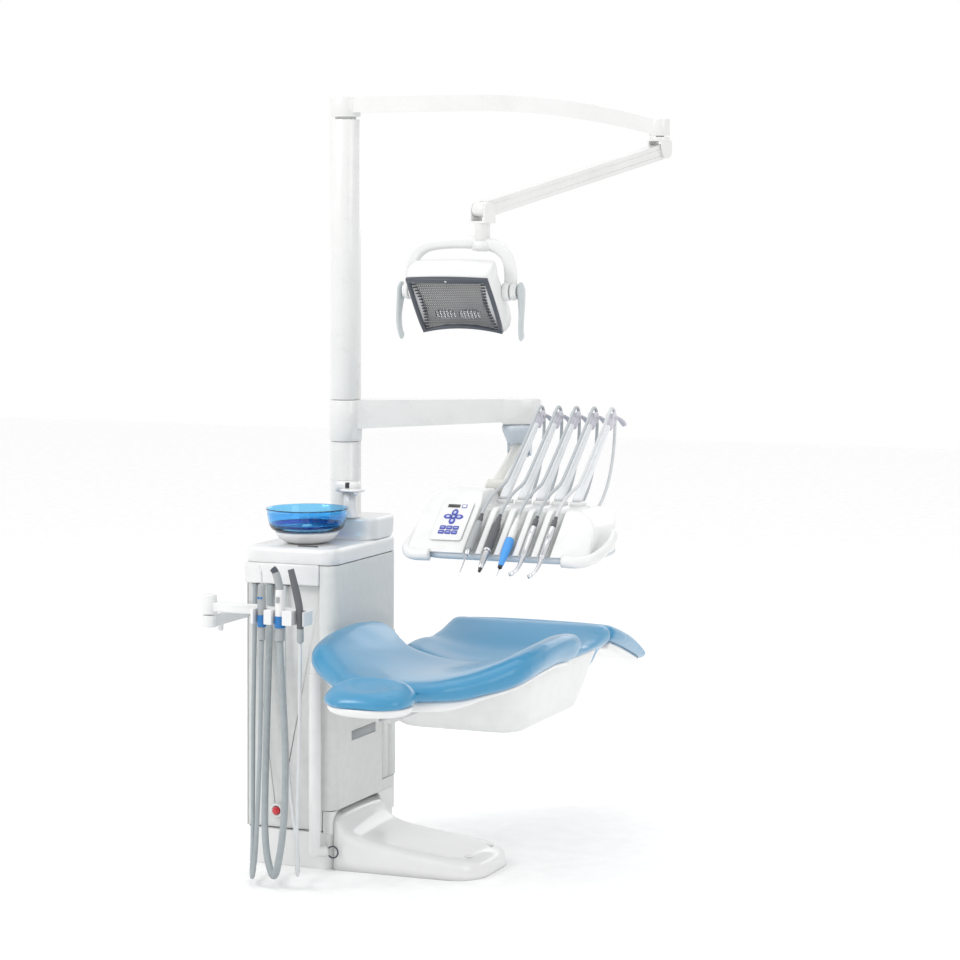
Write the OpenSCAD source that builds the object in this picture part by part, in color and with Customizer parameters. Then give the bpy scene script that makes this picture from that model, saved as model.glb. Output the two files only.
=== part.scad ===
// Dental treatment unit: cabinet with spittoon, patient chair, lamp, console and suction arm.
// Millimetres, +Z up. Origin on the floor under the mast, +X to the operator's side,
// +Y towards the patient's feet.

/* [Cabinet] */
// Left face of the cabinet
cab_x0 = -163; // [-180:1:-150]
// Right face of the cabinet
cab_x1 = 125; // [120:1:126]
// Front face of the cabinet
cab_y0 = -335; // [-345:1:-330]
// Rear face of the cabinet
cab_y1 = 95; // [90:1:110]
// Height of the joint between the panels and the top cover
cover_z = 855; // [850:1:870]
// Radius of the cabinet's upright corners
corner_r = 35; // [20:1:40]

/* [Mast] */
// Radius of the mast
mast_r = 45; // [42:0.5:46]
// Height of the top of the mast
mast_top = 2122; // [2100:1:2140]
// Height of the underside of the console arm's collar
collar_z = 1180; // [1160:1:1200]

/* [Chair] */
// Centreline of the chair, from the mast
chair_x = 495; // [490:1:500]
// Height of the top of the backrest
back_z = 610; // [600:1:620]
// Greatest width over the backrest's wings
wing_w = 660; // [640:1:664]
// Height of the knee crest
knee_z = 655; // [645:1:660]

/* [Lamp] */
// Reach of the upper lamp arm
lamp_reach = 991; // [960:1:1000]
// Width of the lamp head
lamp_w = 236; // [220:1:240]

/* [Console] */
// Left face of the console
con_x0 = 410; // [405:1:415]
// Right face of the console
con_x1 = 920; // [915:1:930]
// Distance between neighbouring whip arms
whip_pitch = 54.5; // [54:0.5:57]
// Length of a whip arm
whip_l = 342; // [320:1:350]

/* [Hidden] */
$fn = 64;
gap = 0.5;                    // between neighbouring pieces
wall = 4;                     // of the cabinet's panels
plate_z = 100;                // top of the base plate
panel_z = 164;                // underside of the side panel
core_r = 35;                  // mast core inside the collar
collar_h = 120;
lip_h = 45;                   // height of the top cover's edge
slot_y = [-16, 82];           // lift slot in the side panel
slot_z = [196, 622];
rail_y = [5, 65];             // lift guide rails
rail_x = 40;
rail_r = 12;
bowl_c = [-27, -200];
bowl_z = 936;
rim_z = 1000;
bowl_r = 118.5;
filler_c = [42, -56];
button_c = [-60, 152];        // x and z of the stop button
hip = [-200, 520];            // y and z of the backrest hinge
knee = [248, 578];            // y and z of the legrest hinge
neck = [-792, 548];           // y and z of the headrest hinge
pin_r = 10;
leg_tilt = 15;
lamp_az = -2.3;
elbow_lamp = [990, -40];
lamp_post = [720, -670];
spring_az = atan2(lamp_post[1] - elbow_lamp[1], lamp_post[0] - elbow_lamp[0]);
spring_run = norm(lamp_post - elbow_lamp);
spring_z = [2020, 1858];      // pivots of the spring arm
spring_drop = atan2(spring_z[0] - spring_z[1], spring_run);
head_c = lamp_post + [-62, 0];  // centre of the lamp head
head_z = 1644;
head_pitch = 38;
elbow_con = [450, 250];
con_post = [540, -135];
deliv_az = atan2(elbow_con[1], elbow_con[0]);
deliv_l = norm(elbow_con);
carm_az = atan2(con_post[1] - elbow_con[1], con_post[0] - elbow_con[0]);
carm_run = norm(con_post - elbow_con);
carm_z = [1150, 1074];        // pivots of the console's spring arm
carm_drop = atan2(carm_z[0] - carm_z[1], carm_run);
con_y = [-445, -112];         // foot of the sloping face, rear face
con_z = [930, 1040];          // foot and head of the sloping face
face_run = 120;
face_lean = atan2(face_run, con_z[1] - con_z[0]);
whip_lean = 52;
whip_base = [-190, 1058];
whip_x = [for (i = [0:4]) 585 + i * whip_pitch];
handle_off = 22;
handle_r = 9;
groove_r = 15;
tool_off = 7;                 // tools lie this far in front of the sloping face
assist_post = [-150, -560];
assist_x = [34, 90, 152];
assist_y = -600;
ring_z = [722, 768];

// Route of a console hose in its own upright plane: y and z, the same for every whip
whip_hose = [
    [-369, 1009], [-343, 1033], [-300, 1060], [-250, 1078], [-205, 1089], [-170, 1103],
    [-100, 1155], [-20, 1217], [40, 1264], [64, 1284], [80, 1291], [94, 1287], [103, 1272],
    [106, 1240], [98, 1180], [70, 1110], [20, 1050], [-40, 1014], [-90, 1002], [-111, 1000]
];
// Routes of the assistant's hoses, from the cabinet outlet to the tool
syringe_hose = [
    [-129, -326, 794], [-129, -327, 770], [-129, -328, 740], [-128, -331, 670], [-128, -334, 600],
    [-126, -341, 500], [-122, -352, 400], [-113, -370, 300], [-100, -396, 200], [-82, -430, 125],
    [-58, -478, 60], [-30, -536, 26], [0, -590, 26], [22, -622, 62], [34, -634, 120],
    [39, -636, 200], [40, -628, 310], [38, -616, 420], [34, -604, 600], [34, -600, 679]
];
suction_hose = [
    [-80, -328, 794], [-80, -329, 770], [-80, -331, 740], [-79, -334, 670], [-79, -338, 600],
    [-78, -346, 500], [-75, -358, 400], [-69, -376, 300], [-58, -402, 205], [-40, -438, 130],
    [-8, -488, 66], [36, -546, 31], [74, -596, 40], [100, -626, 90], [114, -634, 150],
    [120, -632, 230], [119, -624, 330], [112, -614, 430], [95, -603, 600], [90, -600, 679]
];
saliva_hose = [
    [-34, -326, 794], [-34, -327, 770], [-34, -329, 740], [-32, -333, 650], [-30, -338, 560],
    [-24, -346, 460], [-14, -358, 360], [4, -378, 260], [30, -406, 175], [62, -444, 100],
    [92, -492, 50], [114, -540, 32], [134, -584, 50], [145, -608, 100], [150, -617, 170],
    [153, -618, 270], [154, -612, 380], [153, -605, 520], [152, -601, 620], [152, -600, 679]
];

// ---- shared shapes

// A rectangle with round corners, from x0, y0 to x1, y1.
module plate(x0, y0, x1, y1, r) {
    translate([x0 + r, y0]) square([x1 - x0 - 2 * r, y1 - y0]);
    translate([x0, y0 + r]) square([x1 - x0, y1 - y0 - 2 * r]);
    for (x = [x0 + r, x1 - r], y = [y0 + r, y1 - r]) translate([x, y]) circle(r);
}

// The same rectangle as an upright block between two heights.
module slab(x0, y0, x1, y1, r, z0, z1) {
    translate([0, 0, z0]) linear_extrude(z1 - z0) plate(x0, y0, x1, y1, r);
}

module block(x, y, z) {
    translate([x[0], y[0], z[0]]) cube([x[1] - x[0], y[1] - y[0], z[1] - z[0]]);
}

// A cylinder along X between x0 and x1, through y and z.
module rod_x(x0, x1, y, z, r) {
    translate([x0, y, z]) rotate([0, 90, 0]) cylinder(h = x1 - x0, r = r);
}

module post(c, z0, z1, r) {
    translate([c[0], c[1], z0]) cylinder(h = z1 - z0, r = r);
}

// A frame whose +X points along the azimuth, with its origin at c and height z.
module aim(c, z, az) {
    translate([c[0], c[1], z]) rotate([0, 0, az]) children();
}

// A pin along Y through the origin and the two ears that hold it.
module fork(half, ear, r, rise) {
    rotate([90, 0, 0]) cylinder(h = 2 * (half + ear), r = r, center = true);
    for (s = [-1, 1]) {
        translate([0, s * (half + ear / 2), 0]) rotate([90, 0, 0])
            cylinder(h = ear, r = 2.2 * r, center = true);
        translate([-2.2 * r, s * (half + ear / 2) - ear / 2, min(0, rise)])
            cube([4.4 * r, ear, abs(rise)]);
    }
}

// A swept tube: rings of the given number of sides at each point of a route.
function unit(v) = v / norm(v);
function along(p, i) = unit(p[min(i + 1, len(p) - 1)] - p[max(i - 1, 0)]);
function side_of(t, up) = unit(cross(t, up));
module tube(p, r, sides, up) {
    rings = [
        for (i = [0:len(p) - 1], k = [0:sides - 1])
            let (t = along(p, i), s = side_of(t, up), n = cross(s, t), a = 360 * k / sides)
                p[i] + r * (cos(a) * s + sin(a) * n)
    ];
    sides_faces = [
        for (i = [0:len(p) - 2], k = [0:sides - 1])
            let (a = i * sides + k, b = i * sides + (k + 1) % sides) [a, b, b + sides, a + sides]
    ];
    first = [for (k = [sides - 1:-1:0]) k];
    last = [for (k = [0:sides - 1]) (len(p) - 1) * sides + k];
    polyhedron(rings, concat([first], [for (f = sides_faces) f], [last]));
}

// ---- cabinet and base

module cabinet_ring() {
    difference() {
        plate(cab_x0, cab_y0, cab_x1, cab_y1, corner_r);
        plate(cab_x0 + wall, cab_y0 + wall, cab_x1 - wall, cab_y1 - wall, corner_r - wall);
    }
}

module base_plate() {
    color("whitesmoke") difference() {
        union() {
            slab(cab_x0 + 5, cab_y0 + 5, cab_x1 - 5, cab_y1 - 5, 30, 0, plate_z);
            slab(82, cab_y0 + 5, cab_x1 - 5, cab_y1 - 5, 15, plate_z - 1, panel_z - 2);
        }
        for (x = [-115, 75], y = [-270, 30]) post([x, y], -1, 60, 6);
    }
}

module base_foot() {
    color("whitesmoke") {
        hull() {
            block([121, 126], [-328, -4], [0, panel_z - 6]);
            block([262, 266], [-330, -12], [0, 84]);
        }
        hull() {
            block([258, 262], [-331, -13], [0, 86]);
            for (y = [-258, -74]) post([486, y], 0, 46, 62);
            for (y = [-258, -74]) post([486, y], 46, 54, 54);
        }
    }
}

module lift_column() {
    color("silver") {
        for (y = rail_y) post([rail_x, y], plate_z, 800, rail_r);
        post([rail_x, 35], plate_z, 800, 8);
        for (z = [plate_z, 785]) slab(-60, -20, 66, 86, 6, z, z + 15);
        block([-60, -20], [-20, 86], [plate_z, 800]);
        post([-70, -120], plate_z, 230, 38);
    }
}

module front_panel() {
    color("gainsboro") difference() {
        union() {
            block([cab_x0 + wall + gap, 78], [-314, -310], [plate_z + 2, 793]);
            translate([button_c[0], -314, button_c[1]]) rotate([90, 0, 0])
                cylinder(h = 12, r = 19);
        }
        translate([button_c[0], -300, button_c[1]]) rotate([90, 0, 0]) cylinder(h = 60, r = 12);
    }
}

module side_panel() {
    color("gainsboro") difference() {
        translate([0, 0, panel_z]) linear_extrude(cover_z - 2 - panel_z) intersection() {
            cabinet_ring();
            translate([79, cab_y0 - 5]) square([60, cab_y1 - cab_y0 + 10]);
        }
        block([110, 140], slot_y, slot_z);
        block([cab_x1 - 1.5, 140], [-220, -60], [345, 372]);
    }
}

module rear_shell() {
    color("gainsboro") translate([0, 0, plate_z + 2])
        linear_extrude(cover_z - plate_z - 4) difference() {
            cabinet_ring();
            translate([cab_x0 + wall, cab_y0 - 5]) square([250, 60]);
            translate([78.5, cab_y0 - 5]) square([60, cab_y1 - cab_y0 + 10]);
        }
}

module top_cover() {
    color("whitesmoke") difference() {
        union() {
            slab(cab_x0, cab_y0, cab_x1, cab_y1, corner_r, cover_z, cover_z + lip_h);
            slab(-130, -72, 122, 92, 30, cover_z + lip_h - 1, 962);
            block([cab_x0 + 5, 78], [cab_y0 - 5, -280], [795, cover_z + 1]);
        }
        slab(cab_x0 + 6, -270, cab_x1 - 6, cab_y1 - 6, 20, cover_z - 1, cover_z + lip_h - 5);
        slab(-124, -66, 116, 86, 24, cover_z - 1, 957);
        post([0, 0], cover_z - 2, 970, mast_r + gap);
    }
}

module bowl_base() {
    color("white") {
        post(bowl_c, cover_z + lip_h, bowl_z - gap, 82);
        post(bowl_c, cover_z + lip_h, bowl_z + 14, 16);
    }
}

module glass_bowl() {
    color("royalblue", 0.6) translate([bowl_c[0], bowl_c[1], bowl_z]) rotate_extrude()
        polygon([
            [17, 0], [90, 0], [102, 14], [112, 36], [bowl_r, rim_z - bowl_z],
            [bowl_r - 3.5, rim_z - bowl_z], [108.5, 37], [98, 17], [86, 5], [17, 5]
        ]);
}

module cup_filler() {
    color("whitesmoke") {
        post(filler_c, 962, 1040, 19);
        block([22, 88], [-86, -48], [1040, 1064]);
        post([78, -96], 1048, 1056, 22);
        block([68, 88], [-96, -80], [1048, 1056]);
    }
    color("dimgray") block([26, 54], [-88, -86], [1043, 1058]);
}

module mast() {
    color("whitesmoke") difference() {
        union() {
            post([0, 0], 801, collar_z - 2, mast_r);
            post([0, 0], 801, collar_z + collar_h + 2, core_r);
            post([0, 0], collar_z + collar_h + 2, mast_top, mast_r);
            post([0, 0], 801, 813, 50);
        }
        post([0, 0], 1900, mast_top + 1, 32);
    }
}

module drain_pipe() {
    color("whitesmoke") {
        post([80, -366], 56, 556, 17);
        post([80, -366], 556, 586, 14);
        translate([80, -366, 56]) sphere(17);
        translate([80, -366, 56]) rotate([0, 90, 42]) cylinder(h = 33, r = 16);
    }
}

module assist_bracket() {
    color("whitesmoke") {
        block([-158, -137], [assist_post[1], -314.5], [700, 733]);
        post(assist_post, 700, 733, 20);
        post(assist_post, 733, 780, 8);
        post([-148, -500], 682, 701, 9);
    }
}

module stop_button() {
    color("crimson") translate([button_c[0], -300, button_c[1]]) rotate([90, 0, 0])
        cylinder(h = 36, r = 11.5);
}

// ---- patient chair

module lift_arm() {
    color("whitesmoke") difference() {
        union() {
            block([16, 64], [-12, 82], [400, 520]);
            block([63, 279], [-12, 78], [424, 481]);
        }
        for (y = rail_y) post([rail_x, y], 390, 530, rail_r + 0.3);
        post([rail_x, 35], 390, 530, 8.3);
    }
}

// The hinge pin and ears for a joint along X at y, z on both sides of the chair.
module ears_x(y, z, low, wide) {
    rod_x(chair_x - 165, chair_x + 165, y, z, pin_r);
    for (s = [-1, 1]) translate([chair_x + s * 157 - 8, 0, 0])
        block([0, 16], [y - wide, y + wide], [low, z + 14]);
}

// A hub that turns on the pin, on both sides of the chair.
module hubs_x(y, z) {
    for (s = [-1, 1]) rod_x(chair_x + s * 130 - 10, chair_x + s * 130 + 10, y, z, 17);
}

module hub_bores(y, z) {
    rod_x(chair_x - 200, chair_x + 200, y, z, pin_r + 0.3);
}

module seat_shell() {
    color("white") {
        hull() {
            slab(296, -240, 650, 110, 40, 420, 424);
            slab(280, -400, 712, 150, 60, 482, 492);
        }
        for (s = [-1, 1]) {
            block([chair_x + s * 215 - 20, chair_x + s * 215 + 20], [-60, 130], [482, 492]);
            hull() {
                block([chair_x + s * 230 - 5, chair_x + s * 230 + 5], [-60, 130], [482, 492]);
                block([chair_x + s * 240 - 5, chair_x + s * 240 + 5], [-60, 150], [560, 580]);
            }
        }
        block([chair_x - 180, chair_x + 180], [-150, 205], [486, 520]);
        ears_x(hip[0], hip[1], 486, 14);
        ears_x(knee[0], knee[1], 486, 14);
        for (s = [-1, 1])
            block([chair_x + s * 157 - 8, chair_x + s * 157 + 8], [180, 245], [486, 520]);
    }
}

module seat_cushion() {
    color("skyblue") {
        linear_extrude_x(chair_x - 222, chair_x + 222) polygon([
            [-168, 522], [222, 522], [228, 560], [230, 596], [242, 602], [244, knee_z - 12],
            [222, knee_z], [170, knee_z - 8], [60, 600], [-60, 572], [-160, 574], [-172, 556]
        ]);
        linear_extrude_x(chair_x - 250, chair_x + 250) polygon([
            [20, 588], [230, 596], [242, 602], [244, knee_z - 12], [222, knee_z],
            [170, knee_z - 8], [60, 606], [20, 596]
        ]);
    }
}

// A profile drawn in y and z, extruded from x0 to x1.
module linear_extrude_x(x0, x1) {
    translate([x0, 0, 0]) rotate([90, 0, 90]) linear_extrude(x1 - x0) children();
}

// Half of the backrest's outline: distance from the centreline and y.
back_side = [
    [232, -240], [262, -280], [268, -520], [250, -650], [175, -735], [130, -770]
];

module backrest_outline(shrink) {
    half = [for (p = back_side) [p[0] - shrink, p[1] + (p[1] < -700 ? shrink : 0)]];
    polygon(concat(
        [for (p = half) [chair_x - p[0], p[1]]],
        [for (i = [len(half) - 1:-1:0]) [chair_x + half[i][0], half[i][1]]]
    ));
}

module backrest_shell() {
    color("white") difference() {
        union() {
            translate([0, 0, back_z - 78]) linear_extrude(14) difference() {
                backrest_outline(30);
                translate([chair_x - 240, -262]) square([480, 200]);
            }
            block([chair_x - 142, chair_x + 142], [-300, -262], [522, 533]);
            for (s = [-1, 1])
                block([chair_x + s * 130 - 10, chair_x + s * 130 + 10], [-300, hip[0]], [508, 533]);
            hubs_x(hip[0], hip[1]);
        }
        hub_bores(hip[0], hip[1]);
    }
}

module backrest_cushion() {
    color("skyblue") {
        translate([0, 0, back_z - 63]) linear_extrude(61) backrest_outline(0);
        for (s = [-1, 1]) hull() {
            post([chair_x + s * (wing_w / 2 - 66), -236], back_z + 20, back_z + 90, 66);
            post([chair_x + s * (wing_w / 2 - 90), -530], back_z - 20, back_z + 60, 90);
            post([chair_x + s * 150, -400], back_z - 40, back_z - 3, 60);
        }
    }
}

module headrest_stem() {
    color("silver") {
        block([chair_x - 20, chair_x + 20], [neck[0] + 16, -420], [518, 530]);
        for (s = [-1, 1])
            block([chair_x + s * 17 - 3, chair_x + s * 17 + 3], [neck[0] - 9, -773], [518, 557]);
        rod_x(chair_x - 20, chair_x + 20, neck[0], neck[1], 5);
    }
}

module headrest_shell() {
    color("white") difference() {
        union() {
            hull() {
                for (x = [-70, 70]) post([chair_x + x, -885], 556, 566, 52);
                for (x = [-60, 60]) post([chair_x + x, -885], 566, 574, 76);
            }
            block([chair_x - 13, chair_x + 13], [neck[0] - 4, neck[0] + 4], [540, 556]);
            block([chair_x - 13, chair_x + 13], [-850, neck[0]], [542, 557]);
            rod_x(chair_x - 13, chair_x + 13, neck[0], neck[1], 9);
        }
        rod_x(chair_x - 40, chair_x + 40, neck[0], neck[1], 5.3);
    }
}

module headrest_cushion() {
    color("skyblue") translate([0, 0, 575]) linear_extrude(58) {
        translate([chair_x - 36, -974]) square([72, 180]);
        for (x = [-32, 32]) translate([chair_x + x, -884]) circle(90);
    }
}

// The legrest is drawn level along +Y from its hinge and then tilted down.
module at_knee() {
    translate([0, knee[0], knee[1]]) rotate([-leg_tilt, 0, 0]) children();
}

module legrest_shell() {
    color("white") difference() {
        union() {
            at_knee() {
                slab(chair_x - 170, 30, chair_x + 170, 520, 60, 0, 22);
                for (s = [-1, 1])
                    block([chair_x + s * 130 - 10, chair_x + s * 130 + 10], [0, 40], [-12, 12]);
            }
            hubs_x(knee[0], knee[1]);
        }
        hub_bores(knee[0], knee[1]);
    }
}

module legrest_cushion() {
    color("skyblue") at_knee() translate([0, 0, 22.5]) linear_extrude(50) {
        polygon([
            [chair_x - 250, -10], [chair_x + 250, -10], [chair_x + 236, 180], [chair_x + 190, 470],
            [chair_x - 190, 470], [chair_x - 236, 180]
        ]);
        plate(chair_x - 190, 370, chair_x + 190, 560, 90);
    }
}

// ---- lamp

function arm_top(t) = 2188 - 78 * pow(max(0, (t - 0.4) / 0.6), 2);

module light_arm() {
    profile = concat(
        [for (i = [0:10]) [lamp_reach * i / 10, arm_top(i / 10)]],
        [for (i = [10:-1:0]) [lamp_reach * i / 10, arm_top(i / 10) - 46]]
    );
    color("whitesmoke") {
        aim([0, 0], 0, lamp_az) translate([0, 26, 0]) rotate([90, 0, 0])
            linear_extrude(52) polygon(profile);
        post([0, 0], mast_top + 8, 2188, mast_r);
        post([0, 0], 2000, mast_top + 9, 31.5);
        post(elbow_lamp, 2063, 2110, 30);
        post(elbow_lamp, 2052, 2070, 12);
    }
}

module light_elbow_hub() {
    color("whitesmoke") difference() {
        union() {
            post(elbow_lamp, 2048, 2060, 29);
            aim(elbow_lamp, spring_z[0], spring_az) fork(22, 6, 9, 30);
        }
        post(elbow_lamp, 2051, 2061, 12.4);
    }
}

module spring_arm() {
    color("whitesmoke") aim(elbow_lamp, spring_z[0], spring_az) rotate([0, spring_drop, 0])
        difference() {
            length = norm([spring_run, spring_z[0] - spring_z[1]]);
            union() {
                translate([10, -19, -21]) cube([length - 20, 38, 42]);
                for (x = [0, length]) translate([x, 0, 0]) rotate([90, 0, 0])
                    cylinder(h = 42, r = 20, center = true);
            }
            for (x = [0, length]) translate([x, 0, 0]) rotate([90, 0, 0])
                cylinder(h = 60, r = 9.3, center = true);
        }
}

module light_post() {
    color("whitesmoke") {
        aim(lamp_post, spring_z[1], spring_az) fork(22, 6, 9, -36);
        post(lamp_post, 1778, 1824, 20);
        aim(lamp_post, 1822, spring_az) translate([-20, -28, 0]) cube([40, 56, 6]);
        post(lamp_post, 1750, 1779, 9);
    }
}

module light_yoke() {
    span = lamp_w / 2 + 14;
    arm_h = 1744 - head_z;
    color("whitesmoke") difference() {
        union() {
            post(lamp_post, 1752, 1776, 22);
            translate([head_c[0], head_c[1], 1744]) {
                translate([-span - 8, -16, 0]) cube([2 * span + 16, 32, 16]);
                for (s = [-1, 1]) translate([s * span - 8, -16, -arm_h - 20])
                    cube([16, 32, arm_h + 24]);
                for (s = [-1, 1]) translate([s * span - 8, 0, -arm_h]) rotate([0, 90, 0])
                    cylinder(h = 16, r = 24);
            }
        }
        post(lamp_post, 1748, 1777, 9.3);
        rod_x(head_c[0] - 200, head_c[0] + 200, head_c[1], head_z, 10.3);
    }
}

module light_head() {
    half = lamp_w / 2;
    color("whitesmoke") translate([head_c[0], head_c[1], head_z]) {
        rod_x(-half - 43, half + 43, 0, 0, 10);
        rotate([head_pitch, 0, 0]) translate([-half, -56, -94]) cube([2 * half, 92, 178]);
    }
}

module light_handles() {
    x = lamp_w / 2 + 51;
    color("silver") translate([head_c[0], head_c[1], head_z]) for (s = [-1, 1]) {
        rod_x(s * x - 8, s * x + 8, 0, 0, 20);
        translate([s * x - 8, -14, -122]) cube([16, 28, 114]);
    }
}

// ---- console and its arms

module delivery_arm() {
    top = collar_z + collar_h;
    color("whitesmoke") difference() {
        union() {
            post([0, 0], collar_z, top, 48);
            aim([0, 0], 0, deliv_az) translate([0, 37, 0]) rotate([90, 0, 0]) linear_extrude(74)
                polygon([[0, top], [deliv_l, top], [deliv_l, top - 66], [0, top - 85]]);
            post(elbow_con, top - 76, top, 40);
        }
        post([0, 0], collar_z - 1, top + 1, core_r + 0.3);
        post(elbow_con, top - 77, top - 20, 15.3);
    }
}

module elbow_cone() {
    color("lightsteelblue") {
        post(elbow_con, 1195, 1270, 15);
        translate([elbow_con[0], elbow_con[1], 1186]) cylinder(h = 36, r1 = 30, r2 = 37);
        aim(elbow_con, carm_z[0], carm_az) fork(28, 6, 9, 38);
    }
}

module console_arm() {
    length = norm([carm_run, carm_z[0] - carm_z[1]]);
    color("antiquewhite") aim(elbow_con, carm_z[0], carm_az) rotate([0, carm_drop, 0])
        difference() {
            union() {
                translate([12, 0, 0]) rotate([0, 90, 0]) cylinder(h = length - 24, r = 23);
                for (x = [0, length]) translate([x, 0, 0]) rotate([90, 0, 0])
                    cylinder(h = 54, r = 24, center = true);
            }
            for (x = [0, length]) translate([x, 0, 0]) rotate([90, 0, 0])
                cylinder(h = 60, r = 9.3, center = true);
        }
}

module console_knuckle() {
    color("lightgray") {
        aim(con_post, carm_z[1], carm_az) {
            fork(28, 6, 9, -30);
            translate([-20, -34, -33]) cube([40, 68, 6]);
        }
        post(con_post, 1010, 1042, 14);
    }
}

// Side outline of the console with its sloping face, topped at the given height.
module console_profile(top) {
    run = face_run * (top - con_z[0]) / (con_z[1] - con_z[0]);
    polygon([
        [con_y[0], con_z[0]], [con_y[0] + run, top], [con_y[1], top], [con_y[1], 926],
        [con_y[0], 926]
    ]);
}

// The frame of a tool that lies on the sloping face: +Z points up the slope.
module on_face(x, off) {
    translate([x, con_y[0], con_z[0]]) rotate([-face_lean, 0, 0]) translate([0, -off, 0])
        children();
}

module console_shell() {
    color("whitesmoke") difference() {
        union() {
            linear_extrude_x(con_x0, con_x1) console_profile(con_z[1]);
            linear_extrude_x(con_x0, 560) console_profile(1078);
            for (x = whip_x, s = [-1, 1])
                block([x + s * 12 - 2, x + s * 12 + 2], [whip_base[0] - 9, whip_base[0] + 9],
                    [con_z[1] - 1, whip_base[1] + 8]);
            for (x = whip_x) rod_x(x - 12, x + 12, whip_base[0], whip_base[1], 4);
        }
        for (x = whip_x) on_face(x, tool_off) translate([0, 0, -20])
            cylinder(h = 220, r = groove_r);
        block([con_x0 - 1, 561], [-178, -100], [con_z[1], 1100]);
        post(con_post, 1000, 1041, 14.4);
    }
}

module console_tray() {
    color("lightsteelblue") {
        slab(con_x0 + 6, con_y[0] + 6, con_x1 - 6, con_y[1] - 4, 30, 907, 925.5);
        for (x = [con_x0 - handle_off, con_x1 + handle_off]) {
            translate([x, -250, 940]) rotate([90, 0, 0]) cylinder(h = 200, r = handle_r);
            for (y = [-450, -250]) translate([x, y, 940]) sphere(handle_r);
            block([x - 5, x + 5], [-330, -290], [912, 938]);
        }
        for (x = [[con_x0 - handle_off, con_x0 + 40], [con_x1 - 40, con_x1 + handle_off]])
            block(x, [-330, -290], [912, 925.5]);
    }
}

module keypad() {
    color("midnightblue") on_face(485, gap) translate([-42, -3, 28]) cube([84, 3, 132]);
}

// A whip arm: hub, tapering rod, roller pair and tongue.
module whip(x) {
    color("whitesmoke") translate([x, whip_base[0], whip_base[1]]) difference() {
        union() {
            rotate([0, 90, 0]) cylinder(h = 18, r = 10, center = true);
            rotate([-whip_lean, 0, 0]) {
                cylinder(h = whip_l - 8, r1 = 8, r2 = 5);
                translate([-4, -10, whip_l - 16]) cube([8, 20, 26]);
                translate([0, 0, whip_l]) rotate([0, 90, 0])
                    cylinder(h = 22, r = 11, center = true);
            }
        }
        rotate([0, 90, 0]) cylinder(h = 30, r = 4.3, center = true);
    }
}

module whip_1() whip(whip_x[0]);
module whip_2() whip(whip_x[1]);
module whip_3() whip(whip_x[2]);
module whip_4() whip(whip_x[3]);
module whip_5() whip(whip_x[4]);

// A handpiece on the sloping face: stacked sections of [height, lower radius, upper radius].
module handpiece(x, low, sections) {
    on_face(x, tool_off) translate([0, 0, low]) stack(sections, 0);
}

module stack(sections, i) {
    if (i < len(sections)) {
        cylinder(h = sections[i][0], r1 = sections[i][1], r2 = sections[i][2]);
        translate([0, 0, sections[i][0]]) stack(sections, i + 1);
    }
}

module air_syringe() {
    color("gray") handpiece(whip_x[0], -84, [[66, 2, 2.4], [20, 6, 9], [62, 9, 10], [44, 10, 7]]);
}
module micromotor() {
    color("dimgray") handpiece(whip_x[1], -76, [[22, 6, 7], [60, 6, 9], [72, 10, 10], [30, 10, 7]]);
}
module scaler() {
    color("dodgerblue") handpiece(whip_x[2], -82, [[30, 1.5, 3], [90, 7, 10], [70, 10, 8]]);
}
module contra_angle() {
    color("silver") handpiece(whip_x[3], -80, [[20, 6, 7], [72, 6, 9], [64, 10, 10], [32, 10, 7]]);
}
module turbine() {
    color("silver") handpiece(whip_x[4], -78, [[16, 6, 6], [84, 5, 8], [60, 9, 9], [26, 9, 7]]);
}

module console_hose(x) {
    color("lightslategray") tube([for (p = whip_hose) [x, p[0], p[1]]], 4.5, 8, [1, 0, 0]);
}

module hose_1() console_hose(whip_x[0]);
module hose_2() console_hose(whip_x[1]);
module hose_3() console_hose(whip_x[2]);
module hose_4() console_hose(whip_x[3]);
module hose_5() console_hose(whip_x[4]);

// ---- assistant's arm

module assist_arm() {
    color("whitesmoke") difference() {
        union() {
            post(assist_post, 735, 790, 21);
            block([assist_post[0], 160], [-572, -548], [742, 772]);
            for (x = assist_x) {
                post([x, assist_y], ring_z[0], ring_z[1], 20);
                block([x - 10, x + 10], [-600, -560], [744, 766]);
            }
        }
        post(assist_post, 734, 782, 8.3);
        for (x = assist_x) post([x, assist_y], 700, 800, 15.5);
    }
}

module assist_syringe() {
    color("slategray") translate([assist_x[0], assist_y, 680])
        stack([[50, 9, 11], [70, 11, 11], [30, 12, 7], [57, 3, 2.4]], 0);
}
module suction_large() {
    color("silver") translate([assist_x[1], assist_y, 680])
        stack([[60, 12, 14.5], [70, 14.5, 14.5], [68, 13, 9]], 0);
}
module suction_small() {
    color("lightgray") translate([assist_x[2], assist_y, 680])
        stack([[50, 7, 11], [60, 11, 11], [90, 9, 7]], 0);
}

module syringe_hose() {
    color("lightslategray") tube(syringe_hose, 6.3, 8, [1, 0.3, 0.1]);
}
module suction_hose() {
    color("lightslategray") tube(suction_hose, 10, 10, [1, 0.3, 0.1]);
}
module saliva_hose() {
    color("lightslategray") tube(saliva_hose, 5, 8, [1, 0.3, 0.1]);
}

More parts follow.
